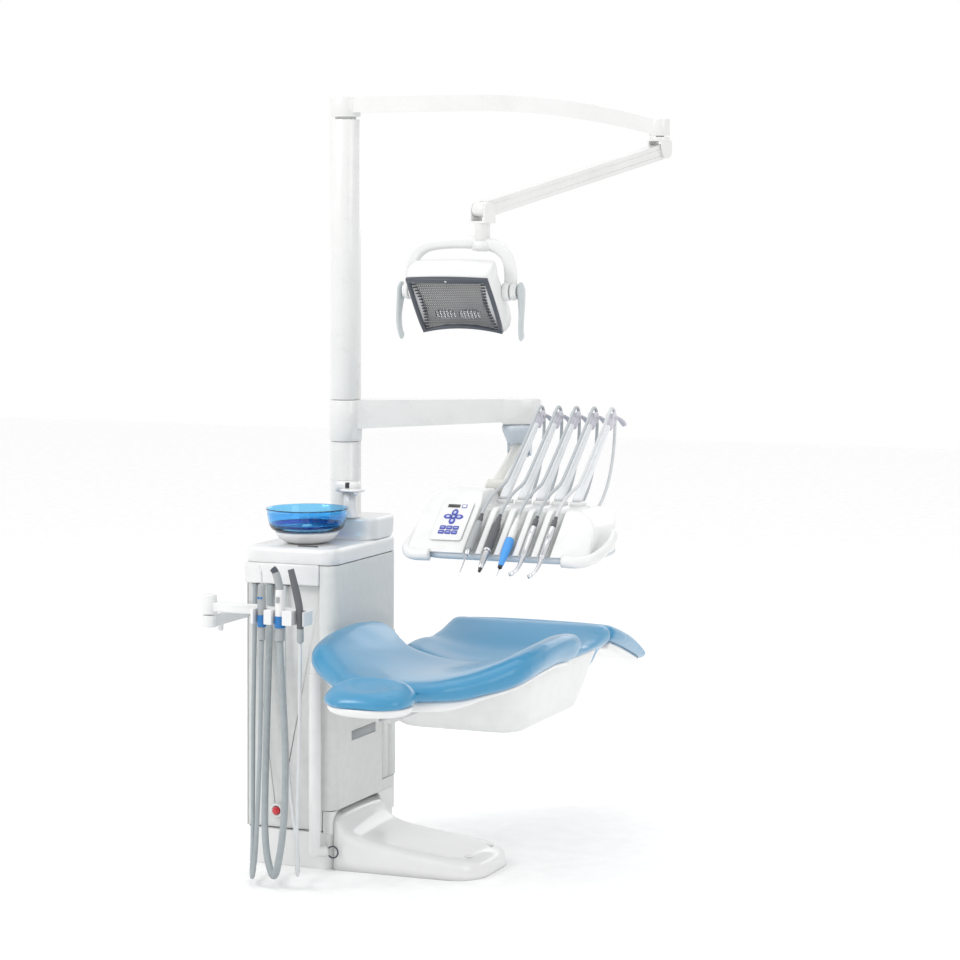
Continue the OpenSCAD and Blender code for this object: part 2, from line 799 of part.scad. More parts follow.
base_plate();
base_foot();
lift_column();
front_panel();
side_panel();
rear_shell();
top_cover();
bowl_base();
cup_filler();
mast();
drain_pipe();
assist_bracket();
stop_button();
glass_bowl();
lift_arm();
seat_shell();
seat_cushion();
backrest_shell();
backrest_cushion();
headrest_stem();
headrest_shell();
headrest_cushion();
legrest_shell();
legrest_cushion();
light_arm();
light_elbow_hub();
spring_arm();
light_post();
light_yoke();
light_head();
light_handles();
delivery_arm();
elbow_cone();
console_arm();
console_knuckle();
console_shell();
console_tray();
keypad();
whip_1();
whip_2();
whip_3();
whip_4();
whip_5();
air_syringe();
micromotor();
scaler();
contra_angle();
turbine();
hose_1();
hose_2();
hose_3();
hose_4();
hose_5();
assist_arm();
assist_syringe();
suction_large();
suction_small();
syringe_hose();
suction_hose();
saliva_hose();
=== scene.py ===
"""Dental treatment unit: looks, materials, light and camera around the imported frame. Metres, +Z up."""

from math import atan2, cos, exp, hypot, pi, radians, sin, sqrt

import bmesh
import bpy
import numpy as np
from mathutils import Matrix, Vector


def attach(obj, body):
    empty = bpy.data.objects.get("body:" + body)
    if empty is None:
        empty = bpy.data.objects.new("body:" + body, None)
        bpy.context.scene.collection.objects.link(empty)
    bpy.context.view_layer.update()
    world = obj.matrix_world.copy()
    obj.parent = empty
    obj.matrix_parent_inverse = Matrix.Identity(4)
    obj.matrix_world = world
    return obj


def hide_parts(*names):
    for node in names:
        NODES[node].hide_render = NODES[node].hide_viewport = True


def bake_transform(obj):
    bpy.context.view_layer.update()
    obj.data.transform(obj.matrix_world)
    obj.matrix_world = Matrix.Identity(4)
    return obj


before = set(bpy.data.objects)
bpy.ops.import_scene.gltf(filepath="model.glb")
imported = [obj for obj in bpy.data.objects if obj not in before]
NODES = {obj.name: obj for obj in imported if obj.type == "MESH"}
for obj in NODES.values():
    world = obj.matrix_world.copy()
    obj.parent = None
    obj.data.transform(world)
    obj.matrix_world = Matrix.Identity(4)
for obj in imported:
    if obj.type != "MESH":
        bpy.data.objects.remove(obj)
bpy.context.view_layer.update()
MM = 0.001

# ---------------------------------------------------------------- camera and light

VIEW_AZ = radians(23)
EYE = Vector((3.578, -7.42, 1.856))


def make_camera():
    data = bpy.data.cameras.new("camera")
    data.lens = 105
    data.shift_y = -0.281
    data.clip_end = 60
    camera = bpy.data.objects.new("camera", data)
    camera.location = EYE
    camera.rotation_euler = (radians(90), 0, VIEW_AZ)
    bpy.context.scene.collection.objects.link(camera)
    bpy.context.scene.camera = camera


def area_light(name, place, aim, size, power, colour=(1, 1, 1)):
    data = bpy.data.lights.new(name, "AREA")
    data.shape = "RECTANGLE"
    data.size, data.size_y = size
    data.energy = power
    data.color = colour
    lamp = bpy.data.objects.new(name, data)
    lamp.location = place
    lamp.rotation_euler = (Vector(aim) - Vector(place)).to_track_quat("-Z", "Y").to_euler()
    bpy.context.scene.collection.objects.link(lamp)


def make_studio():
    world = bpy.data.worlds.new("studio")
    bpy.context.scene.world = world
    world.use_nodes = True
    world.node_tree.nodes["Background"].inputs["Color"].default_value = (1, 1, 1, 1)
    world.node_tree.nodes["Background"].inputs["Strength"].default_value = 1.0
    area_light("key", (-2.6, -3.6, 4.2), (0.3, -0.2, 0.9), (2.0, 2.0), 92)
    area_light("fill", (4.6, -2.6, 3.0), (0.4, 0, 0.8), (2.0, 3.0), 30)
    area_light("top", (0.6, 0.4, 5.0), (0.4, -0.1, 0.6), (3.0, 3.0), 26)
    area_light("rim", (0.8, 4.4, 2.6), (0.4, 0, 0.9), (3.0, 1.6), 16)
    bpy.context.scene.view_settings.view_transform = "Standard"


def make_floor():
    mesh = bpy.data.meshes.new("floor")
    bm = bmesh.new()
    bmesh.ops.create_grid(bm, x_segments=2, y_segments=2, size=14)
    bm.to_mesh(mesh)
    bm.free()
    floor = bpy.data.objects.new("floor", mesh)
    floor.location = (0, 0, -0.0005)
    bpy.context.scene.collection.objects.link(floor)
    mesh.materials.append(shiny("floor_white", (0.975, 0.975, 0.975), 0.75, coat=0))


# ---------------------------------------------------------------- materials

MATERIALS = {}


def shiny(name, colour, rough, coat=0.0, metal=0.0, bump=0.0, scale=200.0, mottle=0.03,
          coat_rough=0.08, sheen=0.0, spec=0.5):
    """A finish with fine surface noise: a little colour mottle, uneven gloss and a shallow bump."""
    if name in MATERIALS:
        return MATERIALS[name]
    mat = bpy.data.materials.new(name)
    mat.use_nodes = True
    tree = mat.node_tree
    new = tree.nodes.new
    link = tree.links.new
    bsdf = tree.nodes["Principled BSDF"]
    bsdf.inputs["Metallic"].default_value = metal
    bsdf.inputs["Coat Weight"].default_value = coat
    bsdf.inputs["Coat Roughness"].default_value = coat_rough
    bsdf.inputs["Sheen Weight"].default_value = sheen
    bsdf.inputs["Specular IOR Level"].default_value = spec
    place = new("ShaderNodeTexCoord")
    noise = new("ShaderNodeTexNoise")
    noise.inputs["Scale"].default_value = scale / 12
    noise.inputs["Detail"].default_value = 4
    link(place.outputs["Object"], noise.inputs["Vector"])
    ramp = new("ShaderNodeValToRGB")
    ramp.color_ramp.elements[0].position = 0.3
    ramp.color_ramp.elements[1].position = 0.7
    ramp.color_ramp.elements[0].color = (*[c * (1 - mottle) for c in colour], 1)
    ramp.color_ramp.elements[1].color = (*[min(1, c * (1 + mottle)) for c in colour], 1)
    link(noise.outputs["Fac"], ramp.inputs["Fac"])
    link(ramp.outputs["Color"], bsdf.inputs["Base Color"])
    gloss = new("ShaderNodeMapRange")
    gloss.inputs["To Min"].default_value = rough * 0.88
    gloss.inputs["To Max"].default_value = min(1, rough * 1.12)
    link(noise.outputs["Fac"], gloss.inputs["Value"])
    link(gloss.outputs["Result"], bsdf.inputs["Roughness"])
    if bump:
        grain = new("ShaderNodeTexNoise")
        grain.inputs["Scale"].default_value = scale
        grain.inputs["Detail"].default_value = 3
        link(place.outputs["Object"], grain.inputs["Vector"])
        relief = new("ShaderNodeBump")
        relief.inputs["Strength"].default_value = bump
        relief.inputs["Distance"].default_value = 0.001
        link(grain.outputs["Fac"], relief.inputs["Height"])
        link(relief.outputs["Normal"], bsdf.inputs["Normal"])
    MATERIALS[name] = mat
    return mat


def leather(name, colour):
    """Smooth synthetic leather: a pebbled grain of small cells and soft gloss."""
    mat = shiny(name, colour, 0.40, coat=0.60, coat_rough=0.16, sheen=0.0, mottle=0.05, scale=60)
    tree = mat.node_tree
    bsdf = tree.nodes["Principled BSDF"]
    place = tree.nodes["Texture Coordinate"]
    cells = tree.nodes.new("ShaderNodeTexVoronoi")
    cells.inputs["Scale"].default_value = 620
    fine = tree.nodes.new("ShaderNodeTexNoise")
    fine.inputs["Scale"].default_value = 900
    both = tree.nodes.new("ShaderNodeMath")
    relief = tree.nodes.new("ShaderNodeBump")
    relief.inputs["Strength"].default_value = 0.10
    relief.inputs["Distance"].default_value = 0.0008
    tree.links.new(place.outputs["Object"], cells.inputs["Vector"])
    tree.links.new(place.outputs["Object"], fine.inputs["Vector"])
    tree.links.new(cells.outputs["Distance"], both.inputs[0])
    tree.links.new(fine.outputs["Fac"], both.inputs[1])
    tree.links.new(both.outputs["Value"], relief.inputs["Height"])
    tree.links.new(relief.outputs["Normal"], bsdf.inputs["Normal"])
    return mat


def brushed(name, colour, rough, stretch=(1, 1, 40)):
    """Machined or brushed metal with fine parallel lines."""
    mat = shiny(name, colour, rough, metal=1.0, mottle=0.04)
    tree = mat.node_tree
    mapping = tree.nodes.new("ShaderNodeMapping")
    mapping.inputs["Scale"].default_value = stretch
    lines = tree.nodes.new("ShaderNodeTexNoise")
    lines.inputs["Scale"].default_value = 90
    relief = tree.nodes.new("ShaderNodeBump")
    relief.inputs["Strength"].default_value = 0.08
    relief.inputs["Distance"].default_value = 0.0004
    tree.links.new(tree.nodes["Texture Coordinate"].outputs["Object"], mapping.inputs["Vector"])
    tree.links.new(mapping.outputs["Vector"], lines.inputs["Vector"])
    tree.links.new(lines.outputs["Fac"], relief.inputs["Height"])
    tree.links.new(relief.outputs["Normal"], tree.nodes["Principled BSDF"].inputs["Normal"])
    return mat


def clear(name, colour, rough, ior):
    mat = shiny(name, colour, rough, mottle=0.01, scale=30)
    bsdf = mat.node_tree.nodes["Principled BSDF"]
    bsdf.inputs["Transmission Weight"].default_value = 1.0
    bsdf.inputs["IOR"].default_value = ior
    return mat


WHITE = shiny("gloss_white", (0.71, 0.715, 0.715), 0.30, coat=0.55, bump=0.05, scale=260)
CAST = shiny("cast_white", (0.72, 0.722, 0.718), 0.26, coat=0.8, bump=0.10, scale=90)
PANEL = shiny("panel_white", (0.63, 0.645, 0.635), 0.36, coat=0.3, bump=0.05, scale=500)
ENAMEL = shiny("arm_enamel", (0.69, 0.695, 0.685), 0.28, coat=0.6, bump=0.06, scale=140)
BEIGE = shiny("arm_beige", (0.60, 0.60, 0.565), 0.34, coat=0.35, bump=0.06, scale=160)
TRAY = shiny("tray_blue_grey", (0.50, 0.55, 0.60), 0.40, coat=0.2, bump=0.12, scale=600)
GREY = shiny("soft_grey", (0.33, 0.35, 0.36), 0.46, bump=0.15, scale=700)
DARK = shiny("dark_grey", (0.10, 0.105, 0.115), 0.42, bump=0.15, scale=600)
LILAC = shiny("roller_grey", (0.55, 0.54, 0.60), 0.38, coat=0.2, bump=0.08, scale=500)
SILICONE = shiny("holder_grey", (0.55, 0.57, 0.56), 0.5, bump=0.12, scale=500)
BLACK = shiny("black_gloss", (0.008, 0.009, 0.011), 0.14, coat=0.5, mottle=0.1)
HOSE = shiny("hose_grey", (0.31, 0.345, 0.36), 0.44, bump=0.12, scale=500, mottle=0.05)
MID_HOSE = shiny("hose_mid", (0.42, 0.45, 0.47), 0.42, bump=0.08, scale=500)
PALE_HOSE = shiny("hose_pale", (0.58, 0.60, 0.61), 0.40, bump=0.08, scale=500)
RING_BLUE = shiny("ring_blue", (0.005, 0.15, 0.42), 0.38, coat=0.2, bump=0.1, scale=400)
GRIP_BLUE = shiny("grip_blue", (0.06, 0.30, 0.72), 0.42, bump=0.25, scale=900)
KEY_BLUE = shiny("key_blue", (0.05, 0.07, 0.36), 0.34, coat=0.3, bump=0.1, scale=500)
KEY_MARK = shiny("key_mark", (0.45, 0.50, 0.75), 0.5, bump=0.1, scale=500)
RED = shiny("button_red", (0.60, 0.012, 0.025), 0.26, coat=0.7, bump=0.05, scale=300)
LEATHER = leather("blue_leather", (0.026, 0.235, 0.430))
STEEL = brushed("brushed_steel", (0.55, 0.56, 0.57), 0.30)
CHROME = brushed("chrome_tool", (0.66, 0.67, 0.69), 0.13)
LAMP_GREY = shiny("lamp_rim_grey", (0.05, 0.058, 0.075), 0.38, coat=0.2, bump=0.08, scale=500)
CHARCOAL = shiny("lamp_dark", (0.012, 0.013, 0.017), 0.60, spec=0.15, mottle=0.15, scale=120)
SLAT = shiny("lamp_slat", (0.055, 0.06, 0.07), 0.40, bump=0.1, scale=400)
REFLECTOR = brushed("reflector", (0.72, 0.73, 0.75), 0.22)
HANDLE_GREY = shiny("handle_grey", (0.47, 0.51, 0.52), 0.40, coat=0.2, bump=0.1, scale=500)
WHIP = shiny("whip_white", (0.72, 0.74, 0.76), 0.34, coat=0.35, bump=0.05, scale=300)
GLASS = clear("blue_glass", (0.20, 0.60, 0.93), 0.03, 1.46)
GLASS_BASE = clear("deep_blue_glass", (0.01, 0.07, 0.45), 0.05, 1.46)

# ---------------------------------------------------------------- mesh helpers


def put(name, verts, faces, mat, smooth=True):
    mesh = bpy.data.meshes.new(name)
    mesh.from_pydata([tuple(v) for v in verts], [], faces)
    bm = bmesh.new()
    bm.from_mesh(mesh)
    bmesh.ops.remove_doubles(bm, verts=bm.verts, dist=1e-6)
    bmesh.ops.recalc_face_normals(bm, faces=bm.faces)
    bm.to_mesh(mesh)
    bm.free()
    obj = bpy.data.objects.new(name, mesh)
    bpy.context.scene.collection.objects.link(obj)
    mesh.materials.append(mat)
    if smooth:
        mesh.shade_smooth()
    return obj


def apply_all(obj):
    """Fixes every modifier of obj in its mesh."""
    bpy.context.view_layer.update()
    made = obj.evaluated_get(bpy.context.evaluated_depsgraph_get())
    mesh = bpy.data.meshes.new_from_object(made)
    old = obj.data
    obj.modifiers.clear()
    obj.data = mesh
    bpy.data.meshes.remove(old)
    return obj


def soften(obj, width, segments=3, angle=30):
    """Rounds the sharp edges and keeps flat faces flat."""
    bevel = obj.modifiers.new("bevel", "BEVEL")
    bevel.width = width
    bevel.segments = segments
    bevel.limit_method = "ANGLE"
    bevel.angle_limit = radians(angle)
    bevel.harden_normals = True
    return apply_all(obj)


def subdivide(obj, levels=2):
    mod = obj.modifiers.new("subdivision", "SUBSURF")
    mod.levels = mod.render_levels = levels
    mod.use_limit_surface = False
    return apply_all(obj)


def ride(obj, body, slot=None, *replaced):
    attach(obj, body)
    if replaced:
        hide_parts(*replaced)
    return obj


def join(name, parts):
    """One mesh out of several, each with its own material."""
    base = parts[0]
    bm = bmesh.new()
    mats = []
    for part in parts:
        mat = part.data.materials[0]
        if mat not in mats:
            mats.append(mat)
        start = len(bm.faces)
        part.data.transform(part.matrix_world)
        bm.from_mesh(part.data)
        bm.faces.ensure_lookup_table()
        for f in bm.faces[start:]:
            f.material_index = mats.index(mat)
    mesh = bpy.data.meshes.new(name)
    bm.to_mesh(mesh)
    bm.free()
    for part in parts[1:]:
        bpy.data.objects.remove(part)
    base.data = mesh
    base.matrix_world = Matrix.Identity(4)
    base.name = name
    for m in mats:
        mesh.materials.append(m)
    return base


def loft(name, rings, mat, caps=True, closed=False):
    """A skin over rings of equal length. Each ring is a closed loop of points."""
    count, each = len(rings), len(rings[0])
    verts = [p for ring in rings for p in ring]
    faces = []
    for i in range(count if closed else count - 1):
        j = (i + 1) % count
        for k in range(each):
            m = (k + 1) % each
            faces.append((i * each + k, i * each + m, j * each + m, j * each + k))
    if caps and not closed:
        faces.append(tuple(range(each)))
        faces.append(tuple((count - 1) * each + k for k in range(each)))
    return put(name, verts, faces, mat)


def lathe(name, profile, mat, place=(0, 0, 0), aim=(0, 0, 1), sides=40, caps=True):
    """A turned shape: profile is (radius, height) along aim from place."""
    turn = Vector((0, 0, 1)).rotation_difference(Vector(aim)).to_matrix()
    rings = []
    for r, h in profile:
        rings.append([
            Vector(place) + turn @ Vector((r * cos(2 * pi * k / sides), r * sin(2 * pi * k / sides), h))
            for k in range(sides)
        ])
    return loft(name, rings, mat, caps)


def rounded_profile(sections, edge):
    """(radius, height) points of a stack of discs with small round edges."""
    points = []
    for r, low, high in sections:
        e = min(edge, (high - low) / 3, r / 2)
        points += [(r - e, low), (r - 0.3 * e, low + 0.3 * e), (r, low + e)]
        points += [(r, high - e), (r - 0.3 * e, high - 0.3 * e), (r - e, high)]
    return points


def disc(name, r, low, high, mat, place, aim=(0, 0, 1), edge=0.002, sides=40):
    return lathe(name, rounded_profile([(r, low, high)], edge), mat, place, aim, sides)


def rounded_loop(half_x, half_y, r, n=6):
    """A rectangle with round corners, as points round its middle."""
    loop = []
    for cx, cy, start in ((1, 1, 0), (-1, 1, 90), (-1, -1, 180), (1, -1, 270)):
        for k in range(n + 1):
            a = radians(start + 90 * k / n)
            loop.append((cx * (half_x - r) + r * cos(a), cy * (half_y - r) + r * sin(a)))
    return loop


def slab(name, loop, low, high, mat, edge=0.004, taper=0.0):
    """An upright block over a loop of x, y points with round top and bottom edges."""
    cx = sum(p[0] for p in loop) / len(loop)
    cy = sum(p[1] for p in loop) / len(loop)
    span = max(hypot(p[0] - cx, p[1] - cy) for p in loop)
    rings = []
    steps = [(1, 0), (0.3, 0.3), (0, 1)]
    levels = [(e, low + edge * h) for e, h in steps] + [(e, high - edge * h) for e, h in steps[::-1]]
    for inset, z in levels:
        grow = 1 - edge * inset / span - taper * (high - z) / (high - low)
        rings.append([(cx + (x - cx) * grow, cy + (y - cy) * grow, z) for x, y in loop])
    return loft(name, rings, mat)


def block(name, low, high, mat, edge=0.003, segments=3):
    bm = bmesh.new()
    bmesh.ops.create_cube(bm, size=1)
    mesh = bpy.data.meshes.new(name)
    bm.to_mesh(mesh)
    bm.free()
    obj = bpy.data.objects.new(name, mesh)
    bpy.context.scene.collection.objects.link(obj)
    low, high = Vector(low), Vector(high)
    size = high - low
    mesh.transform(Matrix.Translation((low + high) / 2) @ Matrix.Diagonal((*size, 1)))
    mesh.materials.append(mat)
    soften(obj, edge, segments)
    obj.data.shade_smooth()
    return obj


def sweep(name, path, sections, mat, up=(0, 0, 1), caps=True):
    """A section carried along a path. sections holds one loop of (side, up) points per path point."""
    rings = []
    for i, p in enumerate(path):
        t = (Vector(path[min(i + 1, len(path) - 1)]) - Vector(path[max(i - 1, 0)])).normalized()
        side = t.cross(Vector(up)).normalized()
        top = side.cross(t)
        rings.append([Vector(p) + side * a + top * b for a, b in sections[i]])
    return loft(name, rings, mat, caps)


def smooth_path(points, step):
    """A Catmull-Rom curve through the points, resampled at an even step."""
    p = [np.array(q, float) for q in points]
    p = [2 * p[0] - p[1], *p, 2 * p[-1] - p[-2]]
    fine = []
    for i in range(1, len(p) - 2):
        for t in np.linspace(0, 1, 24, endpoint=False):
            fine.append(0.5 * (
                2 * p[i] + (p[i + 1] - p[i - 1]) * t
                + (2 * p[i - 1] - 5 * p[i] + 4 * p[i + 1] - p[i + 2]) * t * t
                + (3 * p[i] - p[i - 1] - 3 * p[i + 1] + p[i + 2]) * t ** 3
            ))
    fine = np.array([*fine, p[-2]])
    for _ in range(60):
        fine[1:-1] += 0.25 * (fine[:-2] + fine[2:] - 2 * fine[1:-1])
    run = np.concatenate([[0], np.cumsum(np.linalg.norm(np.diff(fine, axis=0), axis=1))])
    at = np.linspace(0, run[-1], max(2, int(run[-1] / step)) + 1)
    return np.stack([np.interp(at, run, fine[:, k]) for k in range(3)], 1), run[-1]


def tube(name, path, radius, mat, sides=16, side0=(1, 0, 0)):
    """A tube round a dense path. radius is a number, or a function of the point's number."""
    rings = []
    side = Vector(side0)
    for i, p in enumerate(path):
        t = Vector(path[min(i + 1, len(path) - 1)] - path[max(i - 1, 0)]).normalized()
        side = (side - t * side.dot(t)).normalized()
        other = t.cross(side)
        r = radius(i) if callable(radius) else radius
        rings.append([
            Vector(p) + side * (r * cos(2 * pi * k / sides)) + other * (r * sin(2 * pi * k / sides))
            for k in range(sides)
        ])
    return loft(name, rings, mat)

# ---------------------------------------------------------------- upholstery

CHAIR_X = 0.495
KNEE = (0.248, 0.578)
LEG_TILT = radians(15)
VOXEL = 0.0095


def smoothstep(t):
    t = np.clip(t, 0, 1)
    return t * t * (3 - 2 * t)


def smooth_loop(points, count):
    """A closed Catmull-Rom curve through x, y points, resampled evenly."""
    p = np.array(points, float)
    n = len(p)
    fine = []
    for i in range(n):
        a, b, c, d = p[i - 1], p[i], p[(i + 1) % n], p[(i + 2) % n]
        for t in np.linspace(0, 1, 24, endpoint=False):
            fine.append(0.5 * (
                2 * b + (c - a) * t + (2 * a - 5 * b + 4 * c - d) * t * t
                + (3 * b - a - 3 * c + d) * t ** 3
            ))
    fine = np.array([*fine, fine[0]])
    run = np.concatenate([[0], np.cumsum(np.linalg.norm(np.diff(fine, axis=0), axis=1))])
    at = np.linspace(0, run[-1], count, endpoint=False)
    return np.stack([np.interp(at, run, fine[:, k]) for k in range(2)], 1)


def mirrored(half):
    """A loop about x = 0 from the points of its right half, from one end of the axis to the other."""
    return half + [(-x, y) for x, y in half[::-1] if x > 1e-4]


def pad(name, outline, middle, top, under, roll, mat, rings=18, turns=8):
    """A crowned closed form over an outline, with rolled sides. top and under give heights."""
    loop = smooth_loop(outline, 200)
    mid = np.array(middle)
    ray = mid - loop
    reach = np.linalg.norm(ray, axis=1)
    tangent = np.roll(loop, -1, 0) - np.roll(loop, 1, 0)
    inward = np.stack([-tangent[:, 1], tangent[:, 0]], 1)
    inward /= np.linalg.norm(inward, axis=1)[:, None]
    slant = np.clip(np.abs((inward * ray).sum(1)) / reach, 0.4, 1)
    edge = roll / (slant * reach)
    rows = []
    for side in (-1, 1):
        levels = []
        for k in range(turns):
            a = pi / 2 * k / turns
            levels.append((edge * (1 - cos(a)), sin(a)))
        for k in range(rings):
            f = k / rings
            levels.append((edge + (1 - edge) * f, 1.0))
        face = []
        for inset, rise in levels:
            xy = loop + ray * np.atleast_1d(inset)[:, None]
            up, low = top(*xy.T), under(*xy.T)
            z = (up + low) / 2 + side * rise * (up - low) / 2
            face.append(np.column_stack([xy, z]))
        rows += face[::-1] if side < 0 else face[1:]
    obj = loft(name, rows, mat)
    return subdivide(obj, 1)


def stuff(obj, pressure, most):
    """Fills a cushion with cloth pressure. No point moves further than most."""
    shell = obj.modifiers.new("remesh", "REMESH")
    shell.mode = "VOXEL"
    shell.voxel_size = VOXEL
    shell.use_smooth_shade = True
    apply_all(obj)
    rest = np.array([v.co for v in obj.data.vertices])
    cloth = obj.modifiers.new("cloth", "CLOTH")
    cloth.settings.use_pressure = True
    cloth.settings.uniform_pressure_force = pressure
    cloth.settings.tension_stiffness = 40
    cloth.settings.compression_stiffness = 40
    cloth.settings.effector_weights.gravity = 0
    cloth.point_cache.frame_end = 20
    for step in range(1, 21):
        bpy.context.scene.frame_set(step)
    apply_all(obj)
    bpy.context.scene.frame_set(1)
    moved = np.array([v.co for v in obj.data.vertices]) - rest
    far = np.linalg.norm(moved, axis=1)
    keep = np.minimum(1, most / np.maximum(far, 1e-9))
    obj.data.vertices.foreach_set("co", (rest + moved * keep[:, None]).ravel())
    even = obj.modifiers.new("even", "SMOOTH")
    even.factor = 0.5
    even.iterations = 5
    apply_all(obj)
    subdivide(obj, 1)
    obj.data.shade_smooth()
    return obj


def interpolate(points):
    """A smooth height profile through (position, height) points."""
    xs, zs = zip(*points)
    wide = np.linspace(xs[0], xs[-1], 200)
    line = np.interp(wide, xs, zs)
    for _ in range(120):
        line[1:-1] += 0.25 * (line[:-2] + line[2:] - 2 * line[1:-1])
    return lambda at: np.interp(at, wide, line)


BACK_SIDE = [
    (0.0, -0.243), (0.11, -0.241), (0.19, -0.232), (0.236, -0.210), (0.262, -0.180),
    (0.290, -0.166), (0.318, -0.186), (0.331, -0.240), (0.333, -0.350), (0.332, -0.500),
    (0.314, -0.598), (0.258, -0.664), (0.190, -0.722), (0.140, -0.765), (0.070, -0.784),
    (0.0, -0.787),
]
WING_RISE = interpolate([
    (-0.80, 0.12), (-0.70, 0.42), (-0.60, 0.68), (-0.45, 0.92), (-0.33, 1.0), (-0.22, 0.92),
    (-0.15, 0.84),
])
BACK_LINE = interpolate([(-0.80, 0.622), (-0.60, 0.616), (-0.40, 0.606), (-0.15, 0.606)])
BACK_THICK = 0.066


def back_top(x, y):
    dx = np.abs(x - CHAIR_X)
    bowl = 1.15 * dx ** 2 * WING_RISE(y)
    return BACK_LINE(y) + bowl - 0.014 * smoothstep((dx - 0.27) / 0.07)


def back_under(x, y):
    dx = np.abs(x - CHAIR_X)
    thick = BACK_THICK - 0.012 * smoothstep((0.2 - dx) / 0.1) + 0.016 * smoothstep((dx - 0.2) / 0.1)
    return back_top(x, y) - thick


SEAT_LINE = interpolate([
    (-0.18, 0.574), (-0.06, 0.572), (0.04, 0.590), (0.12, 0.625), (0.18, 0.646), (0.215, 0.655),
    (0.25, 0.650),
])
SEAT_SIDE = [
    (0.0, -0.178), (0.16, -0.177), (0.215, -0.170), (0.243, -0.135), (0.252, -0.06),
    (0.254, 0.03), (0.254, 0.10), (0.2535, 0.20), (0.250, 0.234), (0.225, 0.243), (0.10, 0.245),
    (0.0, 0.245),
]


def seat_top(x, y):
    dx = np.abs(x - CHAIR_X)
    return SEAT_LINE(y) + 0.92 * dx ** 2 * smoothstep((0.16 - y) / 0.24)


def seat_under(x, y):
    wide = smoothstep((np.abs(x - CHAIR_X) - 0.195) / 0.03)
    near = smoothstep((y - 0.20) / 0.03)
    return 0.524 + 0.066 * np.maximum(wide, near)


LEG_SIDE = [
    (0.0, -0.010), (0.20, -0.010), (0.244, -0.004), (0.2515, 0.03), (0.246, 0.12),
    (0.232, 0.22), (0.214, 0.33), (0.196, 0.43), (0.176, 0.505), (0.125, 0.550), (0.06, 0.561),
    (0.0, 0.562),
]


def leg_top(x, y):
    dx = np.abs(x - CHAIR_X)
    return 0.0735 - 0.018 * smoothstep((y - 0.2) / 0.36) - 0.10 * dx ** 2


def leg_under(x, y):
    return 0.0228 + 0 * x


HEAD_MID = (CHAIR_X, -0.884)


def head_top(x, y):
    out = np.hypot((x - HEAD_MID[0]) / 0.122, (y - HEAD_MID[1]) / 0.092)
    dish = 0.007 * smoothstep((out - 0.42) / 0.24)
    return 0.625 + 0.19 * (y + 0.884) + dish - 0.012 * smoothstep((out - 0.72) / 0.28)


def head_under(x, y):
    return 0.5765 + 0 * x


def about_chair(points):
    return [(CHAIR_X + x, y) for x, y in points]


def tilt_to_knee(obj):
    place = Matrix.Translation((0, *KNEE)) @ Matrix.Rotation(-LEG_TILT, 4, "X")
    obj.data.transform(place)
    return obj


def make_cushions():
    back = pad("backrest_pad", about_chair(mirrored(BACK_SIDE)), (CHAIR_X, -0.42), back_top,
               back_under, 0.050, LEATHER)
    seat = pad("seat_pad", about_chair(mirrored(SEAT_SIDE)), (CHAIR_X, 0.03), seat_top,
               seat_under, 0.030, LEATHER)
    leg = tilt_to_knee(pad("legrest_pad", about_chair(mirrored(LEG_SIDE)), (CHAIR_X, 0.24),
                           leg_top, leg_under, 0.026, LEATHER))
    oval = [(HEAD_MID[0] + 0.122 * np.sign(cos(a)) * abs(cos(a)) ** 0.82,
             HEAD_MID[1] + 0.092 * np.sign(sin(a)) * abs(sin(a)) ** 0.82)
            for a in np.linspace(0, 2 * pi, 24, endpoint=False)]
    head = pad("headrest_pad", oval, HEAD_MID, head_top, head_under, 0.026, LEATHER)
    for obj, body, node, fill in ((back, "backrest", "backrest_cushion", 0.85),
                                  (seat, "chair", "seat_cushion", 0.8),
                                  (leg, "legrest", "legrest_cushion", 0.85),
                                  (head, "headrest", "headrest_cushion", 0.9)):
        stuff(obj, 4, 0.002)
        ride(obj, body, "upholstery", node)


def edge_band(name, outline, middle, height, inset, width, drop, mat):
    """A thin moulded rim that follows an outline at a height given by x and y."""
    loop = smooth_loop(outline, 160)
    mid = np.array(middle)
    rows = []
    for step_in, step_down in ((inset, 0), (inset, drop), (inset + width, drop), (inset + width, 0)):
        ray = mid - loop
        xy = loop + ray * (step_in / np.linalg.norm(ray, axis=1))[:, None]
        rows.append(np.column_stack([xy, height(*xy.T) - step_down]))
    return loft(name, rows, mat, caps=False, closed=True)


def tray_top(x, y):
    """The seat tray's walls reach the backrest's underside in front and the seat's behind."""
    behind = smoothstep((y + 0.22) / 0.08)
    return float(back_under(x, min(y, -0.2)) * (1 - behind) + 0.595 * behind) - 0.003


def back_shell_under(x, y):
    """The backrest's moulded underside, thicker in the middle where the hinge plates are."""
    middle = smoothstep((0.24 - np.abs(x - CHAIR_X)) / 0.12)
    return back_under(x, y) - 0.010 - 0.016 * middle


